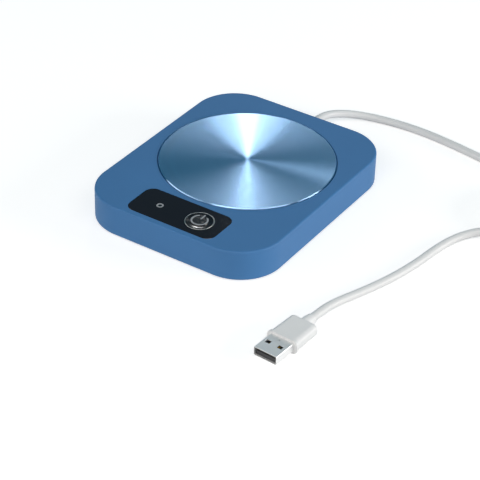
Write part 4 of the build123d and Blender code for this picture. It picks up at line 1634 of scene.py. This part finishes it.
@dataclass(frozen=True)
class Studio:
    """A pale floor, a dim even surround and soft lamps."""

    surround: Rgb = (0.19, 0.75, 1.0)
    surround_level: float = 0.155
    floor_size: float = 8.0
    lamps: tuple[Lamp, ...] = (
        Lamp(
            "back_strip",
            azimuth=122.5, elevation=37.5, distance=0.9,
            width=0.007, height=0.06, power=0.075,
        ),
        Lamp(
            "low_back_box",
            azimuth=122.5, elevation=16.5, distance=1.5,
            width=0.25, height=0.14, power=0.62,
        ),
        Lamp(
            "low_back_strip",
            azimuth=122.5, elevation=18.0, distance=1.3,
            width=0.053, height=0.043, power=0.32,
        ),
        Lamp(
            "back_side_strip",
            azimuth=111.5, elevation=34.5, distance=1.5,
            width=0.17, height=0.065, power=0.072,
        ),
        Lamp(
            "side_strip",
            azimuth=84.0, elevation=34.5, distance=0.4,
            width=0.018, height=0.01, power=0.029,
        ),
        Lamp(
            "top_box",
            azimuth=110.0, elevation=59.5, distance=1.0,
            width=0.35, height=0.17, power=0.104,
        ),
        Lamp(
            "right_box",
            azimuth=22.0, elevation=12.0, distance=1.5,
            width=0.8, height=0.45, power=13.2, color=(1.0, 0.95, 0.92),
        ),
        Lamp(
            "front_box",
            azimuth=-78.0, elevation=28.0, distance=1.5,
            width=1.3, height=0.6, power=6.0, color=WARM,
        ),
        Lamp(
            "overhead_box",
            azimuth=-50.0, elevation=53.0, distance=1.5,
            width=2.3, height=0.4, power=8.8, color=WARM,
        ),
        Lamp(
            "left_box",
            azimuth=-140.0, elevation=25.0, distance=1.5,
            width=1.6, height=0.7, power=5.8, color=WARM,
        ),
    )

    def make(self, paint: Paint) -> None:
        """Makes the floor, the surround and the lamps.

        Args:
            paint: the store of finishes.
        """
        half = self.floor_size / 2
        mesh = bpy.data.meshes.new("floor")
        mesh.from_pydata(
            [(-half, -half, 0.0), (half, -half, 0.0), (half, half, 0.0), (-half, half, 0.0)],
            [],
            [(0, 1, 2, 3)],
        )
        floor = bpy.data.objects.new("floor", mesh)
        bpy.context.scene.collection.objects.link(floor)
        mesh.materials.append(paint.material(FLOOR))
        world = bpy.data.worlds.new("surround")
        bpy.context.scene.world = world
        world.use_nodes = True
        graph = Graph(world.node_tree)
        light = graph.add(
            "Background", {"Color": self.surround, "Strength": self.surround_level}
        )
        graph.add("OutputWorld", {"Surface": light.outputs[0]})
        for lamp in self.lamps:
            lamp.make(axis_of("heating_plate") * MM)


def main() -> None:
    """Builds the scene in order and reports each piece."""
    logging.basicConfig(level=logging.INFO, format="%(name)s: %(message)s")
    scene = bpy.context.scene
    scene.view_settings.view_transform = "Standard"
    paint = Paint()
    Viewpoint().make()
    for part in (Lead(), Housing(), Heater(), Controls(), Electronics(), Plug()):
        names = part.make(paint)
        log.info("%s: %s", type(part).__name__, ", ".join(names))
    Studio().make(paint)


if __name__ == "__main__":
    main()
